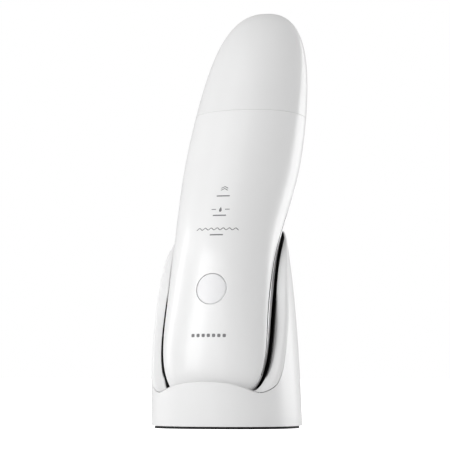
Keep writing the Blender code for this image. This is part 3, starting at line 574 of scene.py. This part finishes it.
def make_front_shell():
    """The front shell's skin, with a round hole for the button in a ring of its own faces."""
    us = np.concatenate([foot_stations(FOOT_SIZES), crowded(FOOT_END, CAP_SEAM, 150, 0.35)])
    rows = []
    for u in us:
        edge = seam_angle(u, seam_shift(u, SEAM_GAP / 2))
        rows.append(handset(u, np.linspace(edge, pi - edge, FRONT_COLUMNS + 1)))
    low = int(np.argmin(np.abs(us - (BUTTON_U - HOLE_PATCH_U))))
    high = int(np.argmin(np.abs(us - (BUTTON_U + HOLE_PATCH_U))))
    left = FRONT_COLUMNS // 2 - HOLE_PATCH_COLUMNS
    right = FRONT_COLUMNS // 2 + HOLE_PATCH_COLUMNS
    bm = bmesh.new()
    grid = add_rows(bm, rows)
    for i in range(len(grid) - 1):
        for j in range(FRONT_COLUMNS):
            if low <= i < high and left <= j < right:
                continue
            bm.faces.new((grid[i][j], grid[i][j + 1], grid[i + 1][j + 1], grid[i + 1][j]))
    ring = [(low, j) for j in range(left, right)] + [(i, right) for i in range(low, high)]
    ring += [(high, j) for j in range(right, left, -1)] + [(i, left) for i in range(high, low, -1)]
    outer = np.array([rows[i][j] for i, j in ring])
    flat = np.stack([outer[:, 0], (outer - np.array(button_point)) @ np.array(button_up)], axis=1)
    turn = np.arctan2(flat[:, 1], flat[:, 0])
    hole = (BUTTON_R + BUTTON_CLEAR) * np.stack([np.cos(turn), np.sin(turn)], axis=1)
    loops = [[grid[i][j] for i, j in ring]]
    for share in np.linspace(0, 1, 13)[1:]:
        place = flat * (1 - share) + hole * share
        loops.append([bm.verts.new(Vector(p)) for p in front_at(place[:, 0], place[:, 1])])
    grid_faces(bm, loops, closed=True)
    loose = [v for v in bm.verts if not v.link_faces]
    bmesh.ops.delete(bm, geom=loose, context="VERTS")
    shell = finish_mesh("front_shell_skin", bm, "handset", ["front_shell"], SHELL_WHITE)
    point_outwards(shell)
    return soften(wall(shell, FRONT_WALL), 0.06 * MM)


def make_rear_shell():
    """The rear shell's skin, with a sunk channel behind the seam on each side for the metal strip."""
    channel_low = STRIP_LOW - CHANNEL_CLEAR
    channel_high = STRIP_HIGH + CHANNEL_CLEAR
    channel_ends = [channel_low - CHANNEL_STEP, channel_low, channel_high, channel_high + CHANNEL_STEP]
    us = np.concatenate([foot_stations(FOOT_SIZES), crowded(FOOT_END, CAP_SEAM, 130, 0.35), channel_ends])
    rows = []
    for u in np.unique(us):
        start = seam_angle(u, -seam_shift(u, SEAM_GAP / 2))
        before = seam_angle(u, -CHANNEL_REAR_EDGE + CHANNEL_SLOPE)
        behind = seam_angle(u, -CHANNEL_REAR_EDGE)
        channel = np.linspace(start, before, 8)
        side = np.concatenate([channel, np.linspace(behind, -pi / 2, 44)])
        depth = np.zeros(side.shape)
        if channel_low - CHANNEL_STEP / 2 < u < channel_high + CHANNEL_STEP / 2:
            depth[:len(channel)] = -CHANNEL_DEPTH
        half = handset_offset(u, side, depth)
        rows.append(np.concatenate([half, mirrored(half[::-1])[1:]]))
    bm = bmesh.new()
    grid_faces(bm, add_rows(bm, rows), closed=False)
    shell = finish_mesh("rear_shell_skin", bm, "handset", ["rear_shell"], SHELL_WHITE)
    point_outwards(shell)
    holes = bmesh.new()
    for u, x in SHELL_SCREWS:
        y, z, half_width, _, depth_behind = spine_values(u)
        place = Matrix.Translation((x, y, z)) @ Matrix.Rotation(-pi / 2 - SECTION_TILT, 4, "X")
        share = (1 - (abs(x) / half_width) ** SECTION_POWER) ** (1 / SECTION_POWER)
        behind = float(share * depth_behind)
        add_prism(holes, place, circle(SCREW_SINK_R), behind - SCREW_SINK_DEPTH, behind + CUT_MARGIN)
    for side in (-1, 1):
        place = Matrix.Translation((side * CONTACT_X, CONTACT_Y, 0))
        add_prism(holes, place, circle(PAD_HOLE_R), 7 * MM, 13.5 * MM)
    return carve(wall(shell, REAR_WALL), holes)


def make_strip(side, sign):
    """The bright metal strip in the channel, a little crowned."""
    middle = -0.5 * (STRIP_FRONT_EDGE + STRIP_REAR_EDGE)
    across = np.linspace(1, -1, 9)
    crown = (1 - across ** 4) * STRIP_CROWN
    rows = []
    for u in crowded(STRIP_LOW, STRIP_HIGH, 120, 0.3):
        from_end = min(u - STRIP_LOW, STRIP_HIGH - u)
        reach = 0.5 * (STRIP_REAR_EDGE - STRIP_FRONT_EDGE) * min(1.0, from_end / STRIP_TAPER + STRIP_END)
        points = handset_offset(u, seam_angle(u, middle + reach * across), crown)
        rows.append(points if sign > 0 else mirrored(points))
    bm = bmesh.new()
    grid_faces(bm, add_rows(bm, rows), closed=False)
    strip = finish_mesh(f"side_strip_{side}", bm, "handset", [f"side_electrode_{side}"], CHROME)
    point_outwards(strip)
    return wall(strip, STRIP_THICK)


def make_gasket(side, sign):
    """The dark seal under the strip, which shows as a line along both of its edges."""
    shares, depths = np.array(GASKET_PROFILE).T
    rows = []
    for u in crowded(STRIP_LOW - 0.002, STRIP_HIGH + 0.002, 100, 0.3):
        points = handset_offset(u, seam_angle(u, -shares), -depths)
        rows.append(points if sign > 0 else mirrored(points))
    bm = bmesh.new()
    grid_faces(bm, add_rows(bm, rows), closed=False)
    gasket = finish_mesh(f"side_gasket_{side}", bm, "handset", [], RUBBER)
    point_outwards(gasket)
    return wall(gasket, GASKET_THICK)


def make_cap():
    """The pull-off cap: a closed tip with a soft mouth."""
    near_tip = [0.9988, 0.9996]
    us = np.concatenate([[CAP_SEAM + CAP_GAP], crowded(CAP_SEAM + 0.0025, 0.9975, 90, 0.55), near_tip])
    bm = bmesh.new()
    grid = add_rows(bm, [handset(u, whole_turn(160)) for u in us])
    grid_faces(bm, grid, closed=True)
    tip = bm.verts.new(Vector(handset(1.0, 0.0)))
    last = grid[-1]
    for j in range(len(last)):
        bm.faces.new((last[j], last[(j + 1) % len(last)], tip))
    cap = finish_mesh("cap_skin", bm, "cap", ["cap"], CAP_WHITE)
    point_outwards(cap)
    return soften(wall(cap, CAP_WALL), 0.05 * MM)


def make_button():
    """The button: a slightly crowned face with a soft edge, its skirt, flange and stem."""
    turn = whole_turn(96)
    round_it = np.stack([np.cos(turn), np.sin(turn)], axis=1)
    face = [(radius, BUTTON_CROWN * (1 - (radius / BUTTON_R) ** 2))
            for radius in np.linspace(0.4 * MM, BUTTON_R - BUTTON_EDGE, 14)]
    edge = [(BUTTON_R - BUTTON_EDGE * (1 - sin(angle)), -BUTTON_EDGE * (1 - cos(angle)))
            for angle in np.linspace(0, pi / 2, 6)[1:]]
    rows = [front_at(*(radius * round_it).T, lift) for radius, lift in face + edge]
    for radius, height in BUTTON_BACK:
        local = np.column_stack([radius * round_it, np.full(turn.shape, height)]) * MM
        rows.append(local @ button_turn + np.array(button_point))
    bm = bmesh.new()
    grid = add_rows(bm, rows)
    grid_faces(bm, grid, closed=True)
    bm.faces.new(grid[0])
    bm.faces.new(grid[-1])
    return finish_mesh("button_skin", bm, "button", ["power_button"], BUTTON_WHITE)


# ---------------- dock skins

DOCK_WALL = 0.5 * MM
# How far below the rim the parting line lies: at the sides and in front, and where it changes
FLANGE = 1.2 * MM
FLANGE_FRONT = 0.25 * MM
FLANGE_START = -19 * MM
FLANGE_RUN = 5 * MM
PARTING_GAP = 0.22 * MM
OUTER_ROUND = 1.1 * MM
INNER_ROUND = 0.45 * MM
ROUND_STOP = 0.05 * MM
RIM_OVERHANG = 0.04 * MM
RIM_UNDERCUT = 0.06 * MM
# At the ears the dock's wall is thin, so the rim's outer rounding is narrower there
EAR_Y = 9.5 * MM
EAR_REACH = 5.0 * MM
EAR_THINNING = 0.65
EAR_RIDGE = 0.15 * MM
# The black lining of painted shade in the cup: its wall, its clearance and its inset from the dock's outside
SHADE_LINING_WALL = 0.4 * MM
SHADE_LINING_CLEAR = 0.1 * MM
SHADE_LINING_INSET = 0.80 * MM
PIN_HOLE_R = 2.5 * MM
USB_Y = 28 * MM
USB_Z = 6.1 * MM
USB_HALF_WIDTH = 5.0 * MM
USB_HALF_HEIGHT = 2.1 * MM
USB_CUT = 6 * MM
DOCK_LOW = 2 * MM
DOCK_HIGH = 90 * MM
CUP_LOW = 0.03
CUP_HIGH = 0.62
# Between these the cup's edge lies straight across from the rim's outer line
ACROSS_FRONT = -20 * MM
ACROSS_BACK = 6 * MM
# The cup's edge is solved along its angles near its ends, and along y between them
EDGE_ENDS = 2 * MM
SOLVER_ROUNDS = 40
SOLVER_STEP_U = 1e-5
SOLVER_STEP_ANGLE = 1e-4
SOLVER_REACH_U = 0.02
SOLVER_REACH_ANGLE = 0.05
SMALLEST = 1e-9

rim_points = np.array(RIM_LINE) * MM
rim_lengths = running_length(rim_points)
fine_rim = natural_spline(rim_lengths, rim_points)(np.linspace(0, rim_lengths[-1], 1500))
rim_along = np.gradient(fine_rim, axis=0)
rim_along /= np.linalg.norm(rim_along, axis=1)[:, None]


def rim_height(y, drop=0.0):
    """The rim's height at y in the side view, lowered at right angles to the rim by the drop."""
    lowered = fine_rim + np.stack([rim_along[:, 1], -rim_along[:, 0]], axis=1) * drop
    order = np.argsort(lowered[:, 0])
    return np.interp(y, lowered[order, 0], lowered[order, 1])


def flange_depth(y):
    """How far below the rim the parting line lies: almost nothing in front, more at the sides."""
    t = np.clip((y - FLANGE_START) / FLANGE_RUN, 0, 1)
    return FLANGE_FRONT + (FLANGE - FLANGE_FRONT) * t * t * (3 - 2 * t)


def dock(theta, z, inset=0.0):
    """Points of the dock's outside: theta 0 is the front and a quarter turn is the +X side."""
    theta, z = np.broadcast_arrays(np.asarray(theta, float), np.asarray(z, float))
    values = dock_values(z)
    s = np.sin(theta)
    c = np.cos(theta)
    reach = (np.abs(s) ** DOCK_POWER + np.abs(c) ** DOCK_POWER) ** (-1 / DOCK_POWER)
    depth = np.where(c > 0, values[..., 1], values[..., 2]) - inset
    x = (values[..., 0] - inset) * s * reach
    y = DOCK_CENTRE - DOCK_LEAN * z - depth * c * reach
    return np.stack([x, y, z], axis=-1)


def dock_at_rim(theta, height_at, inset):
    """Points of the dock's outside, inset, where it reaches the height given for their y."""
    z = crossing(DOCK_LOW, DOCK_HIGH, theta.shape, lambda z: z > height_at(dock(theta, z, inset)[..., 1]))
    return dock(theta, z, inset)


def lowered_by(extra):
    """The rim line lowered to the parting line, and by a little more."""
    def height(y):
        plain = rim_height(y)
        deep = rim_height(y, FLANGE + extra)
        shallow = rim_height(y, FLANGE_FRONT + extra)
        t = (flange_depth(y) - FLANGE_FRONT) / (FLANGE - FLANGE_FRONT)
        return np.minimum(plain, shallow * (1 - t) + deep * t)
    return height


def rounded_rim(fall):
    """The rim line lowered for its outer rounding, never below the parting line."""
    def height(y):
        return np.maximum(rim_height(y, fall), lowered_by(-ROUND_STOP)(y))
    return height


def rim_thetas(count):
    """Angles round the dock from the front to the back, spaced almost evenly along the rim."""
    fine = np.linspace(0, pi, 1200)
    length = running_length(dock_at_rim(fine, rim_height, 0.0))
    blend = 0.75 * length / length[-1] + 0.25 * fine / pi
    return np.interp(np.linspace(0, 1, count + 1), blend, fine)


half_thetas = rim_thetas(150)
ear_bumps = np.exp(-((dock_at_rim(half_thetas, rim_height, 0.0)[:, 1] - EAR_Y) / EAR_REACH) ** 2)
outer_rounds = OUTER_ROUND * (1 - EAR_THINNING * ear_bumps)


def whole_ring(half):
    """A full ring of points from its +X half, front to back."""
    return np.concatenate([half, mirrored(half[::-1][1:-1])])


def make_dock_shell():
    """The dock's outer skin up to the parting line."""
    top = dock_at_rim(half_thetas, lowered_by(PARTING_GAP), 0.0)[..., 2]
    rows = []
    for share in np.concatenate([np.linspace(0, 0.9, 60), np.linspace(0.91, 1, 14)]):
        rows.append(whole_ring(dock(half_thetas, DOCK_BOTTOM + (top - DOCK_BOTTOM) * share)))
    bm = bmesh.new()
    grid_faces(bm, add_rows(bm, rows), closed=True)
    shell = finish_mesh("dock_skin", bm, "dock", ["dock_shell"], DOCK_WHITE)
    face = shell.data.polygons[0]
    if face.normal.dot(Vector((face.center.x, face.center.y, 0))) < 0:
        shell.data.flip_normals()
    slot = bmesh.new()
    place = Matrix.Translation((0, USB_Y, USB_Z)) @ Matrix.Rotation(pi / 2, 4, "X")
    add_prism(slot, place, stadium(USB_HALF_WIDTH, USB_HALF_HEIGHT), -USB_CUT, USB_CUT)
    return soften(carve(wall(shell, DOCK_WALL), slot), 0.12 * MM)


def cavity_at_rim(angle, offset, drop):
    """For each angle round the handset, the u at which the offset form crosses the lowered rim."""
    def is_over(u):
        point = handset_offset(u, angle, offset)
        return point[..., 2] > rim_height(point[..., 1], drop)
    return crossing(CUP_LOW, CUP_HIGH, angle.shape, is_over)


def cup_edge(ys, offset, drop):
    """For each y in the side view, the u and angle at which the offset form meets the lowered rim there."""
    turn = np.linspace(pi / 2, -pi / 2, 600)
    turn_u = cavity_at_rim(turn, offset, drop)
    turn_y = handset_offset(turn_u, turn, offset)[:, 1]
    order = np.argsort(turn_y)
    first, last = turn_y[0], turn_y[-1]
    ys = np.clip(ys, first, last)
    angle = np.interp(ys, turn_y[order], turn[order])
    u = np.interp(ys, turn_y[order], turn_u[order])
    goal = np.stack([ys, rim_height(ys, drop)], axis=1)
    middle = (ys > first + EDGE_ENDS) & (ys < last - EDGE_ENDS)
    for _ in range(SOLVER_ROUNDS):
        here = handset_offset(u, angle, offset)[:, 1:]
        along = (handset_offset(u + SOLVER_STEP_U, angle, offset)[:, 1:] - here) / SOLVER_STEP_U
        across = (handset_offset(u, angle + SOLVER_STEP_ANGLE, offset)[:, 1:] - here) / SOLVER_STEP_ANGLE
        miss = goal - here
        area = along[:, 0] * across[:, 1] - along[:, 1] * across[:, 0]
        area = np.where(np.abs(area) < SMALLEST, SMALLEST, area)
        du = (miss[:, 0] * across[:, 1] - miss[:, 1] * across[:, 0]) / area
        da = (along[:, 0] * miss[:, 1] - along[:, 1] * miss[:, 0]) / area
        u = np.where(middle, u + np.clip(du, -SOLVER_REACH_U, SOLVER_REACH_U), u)
        angle = np.where(middle, angle + np.clip(da, -SOLVER_REACH_ANGLE, SOLVER_REACH_ANGLE), angle)
    return np.where(middle, u, cavity_at_rim(angle, offset, drop)), angle


def inside_dock(points, inset):
    """Points moved in towards the dock's axis where they would come through its wall."""
    values = dock_values(points[..., 2])
    centre = DOCK_CENTRE - DOCK_LEAN * points[..., 2]
    away = points[..., 1] - centre
    depth = np.where(away < 0, values[..., 1], values[..., 2]) - inset
    radius = (np.abs(points[..., 0] / (values[..., 0] - inset)) ** DOCK_POWER
              + np.abs(away / depth) ** DOCK_POWER) ** (1 / DOCK_POWER)
    scale = 1 / np.maximum(radius, 1.0)
    moved = points.copy()
    moved[..., 0] = points[..., 0] * scale
    moved[..., 1] = centre + away * scale
    return moved


def cup_ends(offset, drop):
    """The angles, the u and the y of the cup's edge at its front and its back end."""
    angles = np.array([pi / 2, -pi / 2])
    us = cavity_at_rim(angles, offset, drop)
    return angles, us, handset_offset(us, angles, offset)[:, 1]


def moved_ends(ys, ends):
    """The ys with their first and last moved to the ends, and no change between the across values."""
    before = [ys[0], ACROSS_FRONT, ACROSS_BACK, ys[-1]]
    return np.interp(ys, before, [ends[0], ACROSS_FRONT, ACROSS_BACK, ends[1]])


def on_edge(ys, offset, drop):
    """The u and angle of the cup's edge near each y."""
    end_angles, end_us, end_ys = cup_ends(offset, drop)
    u, angle = cup_edge(moved_ends(ys, end_ys), offset, drop)
    angle[0], angle[-1] = end_angles
    u[0], u[-1] = end_us
    return u, angle


def cup_rows(ys, gap, inset):
    """Rows of points round the cup, from the middle of its floor to its edge, off the handset by the gap."""
    down = (spine_values(0.0) - spine_values(0.02))[:2]
    below = np.array([0, *down]) / np.linalg.norm(down) * gap
    wall_u, angles = on_edge(ys, CAVITY_GAP, INNER_ROUND - SHADE_LINING_CLEAR)
    rows = [handset(u, angles) + below for u in foot_stations(FOOT_SIZES)[:-2]]
    for share in np.linspace(0, 1, 44) ** 0.8:
        u = FOOT_END + (wall_u - FOOT_END) * share
        rows.append(inside_dock(handset_offset(u, angles, gap), inset))
    return [whole_ring(row) for row in rows]


def make_shade_lining(ys):
    """A black lining that paints shade into the cup that the handset stands in, whose real walls are white,
    with a hole for each contact pin.
    """
    inner = cup_rows(ys, CAVITY_GAP, SHADE_LINING_INSET)
    outer = cup_rows(ys, CAVITY_GAP + SHADE_LINING_WALL, DOCK_WALL + SHADE_LINING_CLEAR)
    bm = bmesh.new()
    grid = add_rows(bm, inner + outer[::-1])
    grid_faces(bm, grid, closed=True)
    bm.faces.new(grid[0])
    bm.faces.new(grid[-1])
    # Black rubber here is painted shade: the cup's walls are white and only lie in deep shadow
    lining = finish_mesh("cradle_painted_shade_lining", bm, "dock", [], RUBBER, smooth=50)
    holes = bmesh.new()
    for side in (-1, 1):
        place = Matrix.Translation((side * CONTACT_X, CONTACT_Y, 0))
        add_prism(holes, place, circle(PIN_HOLE_R), 2 * MM, 14 * MM)
    return carve(lining, holes)


def make_rim(outer, ys):
    """The dock's soft-edged rim band, from the cup's edge over to the parting line, as one closed ring."""
    rows = []
    for turn in np.linspace(0, pi / 2, 6):
        offset = CAVITY_GAP + INNER_ROUND * (1 - cos(turn))
        drop = INNER_ROUND * (1 - sin(turn))
        points = handset_offset(*on_edge(ys, offset, drop), offset)
        points = inside_dock(points, outer_rounds + EAR_RIDGE * (1 + cos(turn)))
        points[:, 2] = rim_height(points[:, 1], drop)
        rows.append(points)
    start = rows[-1]
    for share in np.linspace(0, 1, 12)[1:]:
        points = start * (1 - share) + outer * share
        points[:, 2] = rim_height(points[:, 1])
        rows.append(points)
    for turn in np.linspace(0, pi / 2, 7)[1:]:
        fall = OUTER_ROUND * (1 - cos(turn))
        rows.append(dock_at_rim(half_thetas, rounded_rim(fall), outer_rounds * (1 - sin(turn))))
    rows.append(dock_at_rim(half_thetas, lowered_by(-RIM_OVERHANG), 0.0))
    rows.append(dock_at_rim(half_thetas, lowered_by(0.0), RIM_UNDERCUT))
    bm = bmesh.new()
    grid = add_rows(bm, [whole_ring(row) for row in rows])
    grid_faces(bm, grid + grid[:1], closed=True)
    return finish_mesh("cradle_rim", bm, "dock", ["dock_cradle"], RIM_WHITE, smooth=50)


def make_cradle():
    """The rim band and the black lining of painted shade in the cup, which together stand for the cradle."""
    outer = dock_at_rim(half_thetas, rim_height, outer_rounds)
    ys = moved_ends(outer[:, 1], cup_ends(CAVITY_GAP + INNER_ROUND, 0.0)[2])
    make_shade_lining(ys)
    make_rim(outer, ys)


# ---------------- contact springs

SPRING_LOW = 5.1 * MM
SPRING_HIGH = 6.9 * MM
SPRING_R = 1.15 * MM
SPRING_WIRE = 0.15 * MM
SPRING_TURNS = 4


def make_contact_spring(side, sign):
    """The coil under a contact pin."""
    up = np.array([0, 0, 1])
    centre = np.array([sign * CONTACT_X, CONTACT_Y, SPRING_LOW])
    turn = np.linspace(0, 2 * pi * SPRING_TURNS, 24 * SPRING_TURNS + 1)
    outward = np.stack([np.cos(turn), np.sin(turn), np.zeros(turn.shape)], axis=1)
    climb = SPRING_WIRE + (SPRING_HIGH - SPRING_LOW - 2 * SPRING_WIRE) * turn / turn[-1]
    line = centre + SPRING_R * outward + climb[:, None] * up
    bm = bmesh.new()
    grid = add_rows(bm, [line + SPRING_WIRE * (cos(a) * outward + sin(a) * up) for a in whole_turn(10)])
    grid_faces(bm, grid + grid[:1], closed=False)
    bm.faces.new([row[0] for row in grid])
    bm.faces.new([row[-1] for row in grid][::-1])
    coil = finish_mesh(f"contact_coil_{side}", bm, "dock", [f"contact_spring_{side}"], SCREW_STEEL)
    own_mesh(coil)


# ---------------- printed marks

INK_LIFT = 0.015 * MM
LINE_WIDTH = 0.36 * MM
BAR_WIDTH = 5.7 * MM
BAR_THICK = 0.55 * MM


def ink(name, patches):
    """Ink on the front, raised by a hair: each patch is rows of (x, along) points, joined round if closed."""
    bm = bmesh.new()
    for rows, closed in patches:
        placed = [front_at(*np.array(row).T, INK_LIFT) for row in rows]
        grid_faces(bm, add_rows(bm, placed), closed)
    mark = finish_mesh(name, bm, "handset", [], INK, weld=0.0005 * MM)
    for polygon in mark.data.polygons:
        if polygon.normal.y > 0:
            polygon.flip()
    return mark


def along_of(height):
    """The distance along the front at which its centre line reaches a height in mm."""
    lengths = np.linspace(-45 * MM, 50 * MM, 400)
    heights = front_at(np.zeros(lengths.shape), lengths)[:, 2]
    return float(np.interp(height * MM, heights, lengths))


def stroke(points, width):
    """A line with round ends through points (x, along)."""
    points = np.asarray(points, float)
    length = running_length(points)
    half = width / 2
    ends = half * (1 - np.cos(np.linspace(0, pi / 2, 6)))
    steps = max(4, int(length[-1] / (0.2 * MM)))
    middle = np.linspace(half, length[-1] - half, steps)[1:-1]
    places = np.concatenate([ends, middle, length[-1] - ends[::-1]])
    line = np.stack([np.interp(places, length, points[:, i]) for i in range(2)], axis=1)
    ahead = np.gradient(line, axis=0)
    ahead /= np.linalg.norm(ahead, axis=1)[:, None]
    aside = np.stack([-ahead[:, 1], ahead[:, 0]], axis=1)
    from_end = np.minimum(1.0, np.minimum(places, length[-1] - places) / half)
    reach = half * np.sqrt(np.maximum(1 - (1 - from_end) ** 2, 0.0004))
    return [line + aside * (share * reach)[:, None] for share in (-1, 0, 1)], False


def filled(centre, outline):
    """A filled form between its centre (x, along) and its outline."""
    centre = np.asarray(centre, float)
    return [centre + (outline - centre) * share for share in (0.02, 0.5, 1.0)], True


def bar_at(height):
    """A short bar, as under each mode mark."""
    along = along_of(height)
    return stroke([(-BAR_WIDTH / 2, along), (BAR_WIDTH / 2, along)], BAR_THICK)


def chevrons_at(height):
    """Two chevrons that point up, one above the other."""
    along = along_of(height)
    half, rise = 1.5 * MM, 0.8 * MM
    return [stroke([(-half, along + up - rise), (0, along + up), (half, along + up - rise)], LINE_WIDTH)
            for up in (0.2 * MM, 1.1 * MM)]


def droplet_at(height):
    """A drop between two dashes."""
    along = along_of(height)
    turn = whole_turn(48)
    width, length = 0.8 * MM, 1.15 * MM
    x = width * np.sin(turn) * np.sin(turn / 2) ** 1.4
    outline = np.stack([x, along + length * np.cos(turn)], axis=1)
    dashes = [stroke([(side * 1.9 * MM, along), (side * 3.9 * MM, along)], LINE_WIDTH) for side in (-1, 1)]
    return [filled((0.0, along - 0.25 * MM), outline)] + dashes


def ripples_at(height):
    """A long wave."""
    reach, rise, waves = 9.0 * MM, 0.42 * MM, 7
    xs = np.linspace(-reach, reach, 121)
    wave = along_of(height) + rise * np.cos(pi * waves * xs / reach)
    return [stroke(np.stack([xs, wave], axis=1), 0.34 * MM)]


def squares_at(height):
    """A row of seven small rounded squares."""
    half, pitch = 0.68 * MM, 2.2 * MM
    corner = np.stack([np.cos(whole_turn(40)), np.sin(whole_turn(40))], axis=1)
    form = half * np.sign(corner) * np.abs(corner) ** 0.5
    centres = [np.array([i * pitch, along_of(height)]) for i in range(-3, 4)]
    return [filled(centre, centre + form) for centre in centres]


# ---------------- build the pieces

make_front_shell()
make_rear_shell()
for side_name, side_sign in (("left", -1), ("right", 1)):
    make_strip(side_name, side_sign)
    make_gasket(side_name, side_sign)
    make_contact_spring(side_name, side_sign)
make_cap()
make_button()
make_dock_shell()
make_cradle()

ink("mode_mark_top", chevrons_at(96.7) + [bar_at(93.8)])
ink("mode_mark_middle", droplet_at(88.2) + [bar_at(85.7)])
ink("mode_mark_low", ripples_at(80.1) + [bar_at(77.7)])
ink("row_of_squares", squares_at(37.2))

# The CAD nodes that keep their own shape
NODE_MATERIALS = {
    "dock_base_plate": SATIN_WHITE, "neck_collar": SATIN_WHITE, "transducer_holder": SATIN_WHITE,
    "usb_socket": CHROME, "blade": STEEL, "transducer_horn": ALUMINIUM, "piezo_electrode": BRASS,
    "dock_foot_pad": RUBBER, "blade_seal": RUBBER, "transducer_damper": RUBBER,
    "battery": BATTERY, "control_chip": BLACK_PLASTIC, "step_up_transformer": BLACK_PLASTIC,
    "switch_plunger": BLACK_PLASTIC, "usb_tongue": BLACK_PLASTIC,
}
# And by how their names begin
PREFIX_MATERIALS = (
    ("base_screw", SCREW_STEEL), ("shell_screw", SCREW_STEEL), ("ballast", STEEL), ("contact_", BRASS),
    ("charge_contact", BRASS), ("piezo_ring", CERAMIC), ("transducer_b", SCREW_STEEL),
    ("tact_switch", SCREW_STEEL), ("mode_led", LED), ("main_board", BOARD), ("indicator_board", BOARD),
    ("dock_board", BOARD),
)
for node_name, node in nodes.items():
    chosen = NODE_MATERIALS.get(node_name)
    for prefix, material in PREFIX_MATERIALS:
        if chosen is None and node_name.startswith(prefix):
            chosen = material
    if chosen is not None:
        node.data.materials.clear()
        node.data.materials.append(chosen)


# ---------------- floor, light and camera

def make_floor():
    """A pale floor that shows as almost white, and lights the object no more than plain paint would."""
    bpy.ops.mesh.primitive_plane_add(size=6.0)
    floor = bpy.context.object
    floor.name = "floor"
    material, tree, shader = new_material("pale_floor")
    tone = ramp(tree, noise(tree, 3.0), ((0.3, (0.90, 0.90, 0.90)), (0.7, (0.93, 0.93, 0.93))))
    tree.links.new(tone, shader.inputs["Base Color"])
    shader.inputs["Roughness"].default_value = 0.9
    shader.inputs["Specular IOR Level"].default_value = 0.1
    shader.inputs["Emission Color"].default_value = (1, 1, 1, 1)
    path = tree.nodes.new("ShaderNodeLightPath")
    glow = between(tree, path.outputs["Is Camera Ray"], 0.0, 0.85)
    tree.links.new(glow, shader.inputs["Emission Strength"])
    floor.data.materials.append(material)


# Name, azimuth and elevation in degrees, width and height in metres, and power in watts
SOFT_BOXES = (
    ("key_front", -15, 8, 0.30, 1.0, 1.2),
    ("key_front_left", -30, 8, 0.30, 1.0, 5.2),
    ("side_left", -75, 8, 0.30, 1.0, 3.1),
    ("high_left", -45, 45, 0.45, 0.8, 1.5),
    ("high_far_left", -75, 45, 0.45, 0.8, 0.4),
    ("side_right", 105, 8, 0.30, 1.0, 1.4),
    ("rim_right", 120, 8, 0.30, 1.0, 4.0),
    ("rim_right_back", 135, 8, 0.30, 1.0, 2.2),
    ("rim_back", 150, 8, 0.30, 1.0, 1.8),
)
LIGHT_DISTANCE = 1.1
LIGHT_TARGET = (0, 0.01, 0.085)
SURROUND_LIGHT = 0.43


def make_light(name, azimuth, elevation, width, height, power):
    """A soft box at an azimuth (0 is in front, +90 is the +X side), aimed at the object's middle."""
    data = bpy.data.lights.new(name, "AREA")
    data.shape = "RECTANGLE"
    data.size = width
    data.size_y = height
    data.energy = power
    light = bpy.data.objects.new(name, data)
    a, e = radians(azimuth), radians(elevation)
    back = Vector((sin(a) * cos(e), -cos(a) * cos(e), sin(e)))
    light.location = Vector(LIGHT_TARGET) + back * LIGHT_DISTANCE
    light.rotation_euler = back.to_track_quat("Z", "Y").to_euler()
    bpy.context.scene.collection.objects.link(light)


def make_world():
    """A white surround that shows as white, and lights the object only a little."""
    world = bpy.data.worlds.new("surround")
    bpy.context.scene.world = world
    world.use_nodes = True
    tree = world.node_tree
    shown = tree.nodes["Background"]
    shown.inputs["Color"].default_value = (1, 1, 1, 1)
    shown.inputs["Strength"].default_value = 1.0
    dim = tree.nodes.new("ShaderNodeBackground")
    dim.inputs["Color"].default_value = (1, 1, 1, 1)
    dim.inputs["Strength"].default_value = SURROUND_LIGHT
    path = tree.nodes.new("ShaderNodeLightPath")
    mix = tree.nodes.new("ShaderNodeMixShader")
    tree.links.new(path.outputs["Is Camera Ray"], mix.inputs[0])
    tree.links.new(dim.outputs[0], mix.inputs[1])
    tree.links.new(shown.outputs[0], mix.inputs[2])
    tree.links.new(mix.outputs[0], tree.nodes["World Output"].inputs["Surface"])


def make_camera():
    """The photo's viewpoint: about 20 degrees towards +X, low, from about 1.1 m."""
    data = bpy.data.cameras.new("camera")
    data.sensor_width = 36.0
    data.lens = 217.3
    data.clip_start = 0.01
    camera = bpy.data.objects.new("camera", data)
    camera.location = (0.370, -1.038, 0.0265)
    target = Vector((0.0, -0.0021, 0.0821))
    camera.rotation_euler = (target - camera.location).to_track_quat("-Z", "Y").to_euler()
    bpy.context.scene.collection.objects.link(camera)
    bpy.context.scene.camera = camera


make_floor()
make_world()
for soft_box in SOFT_BOXES:
    make_light(*soft_box)
make_camera()
bpy.context.scene.view_settings.view_transform = "Standard"
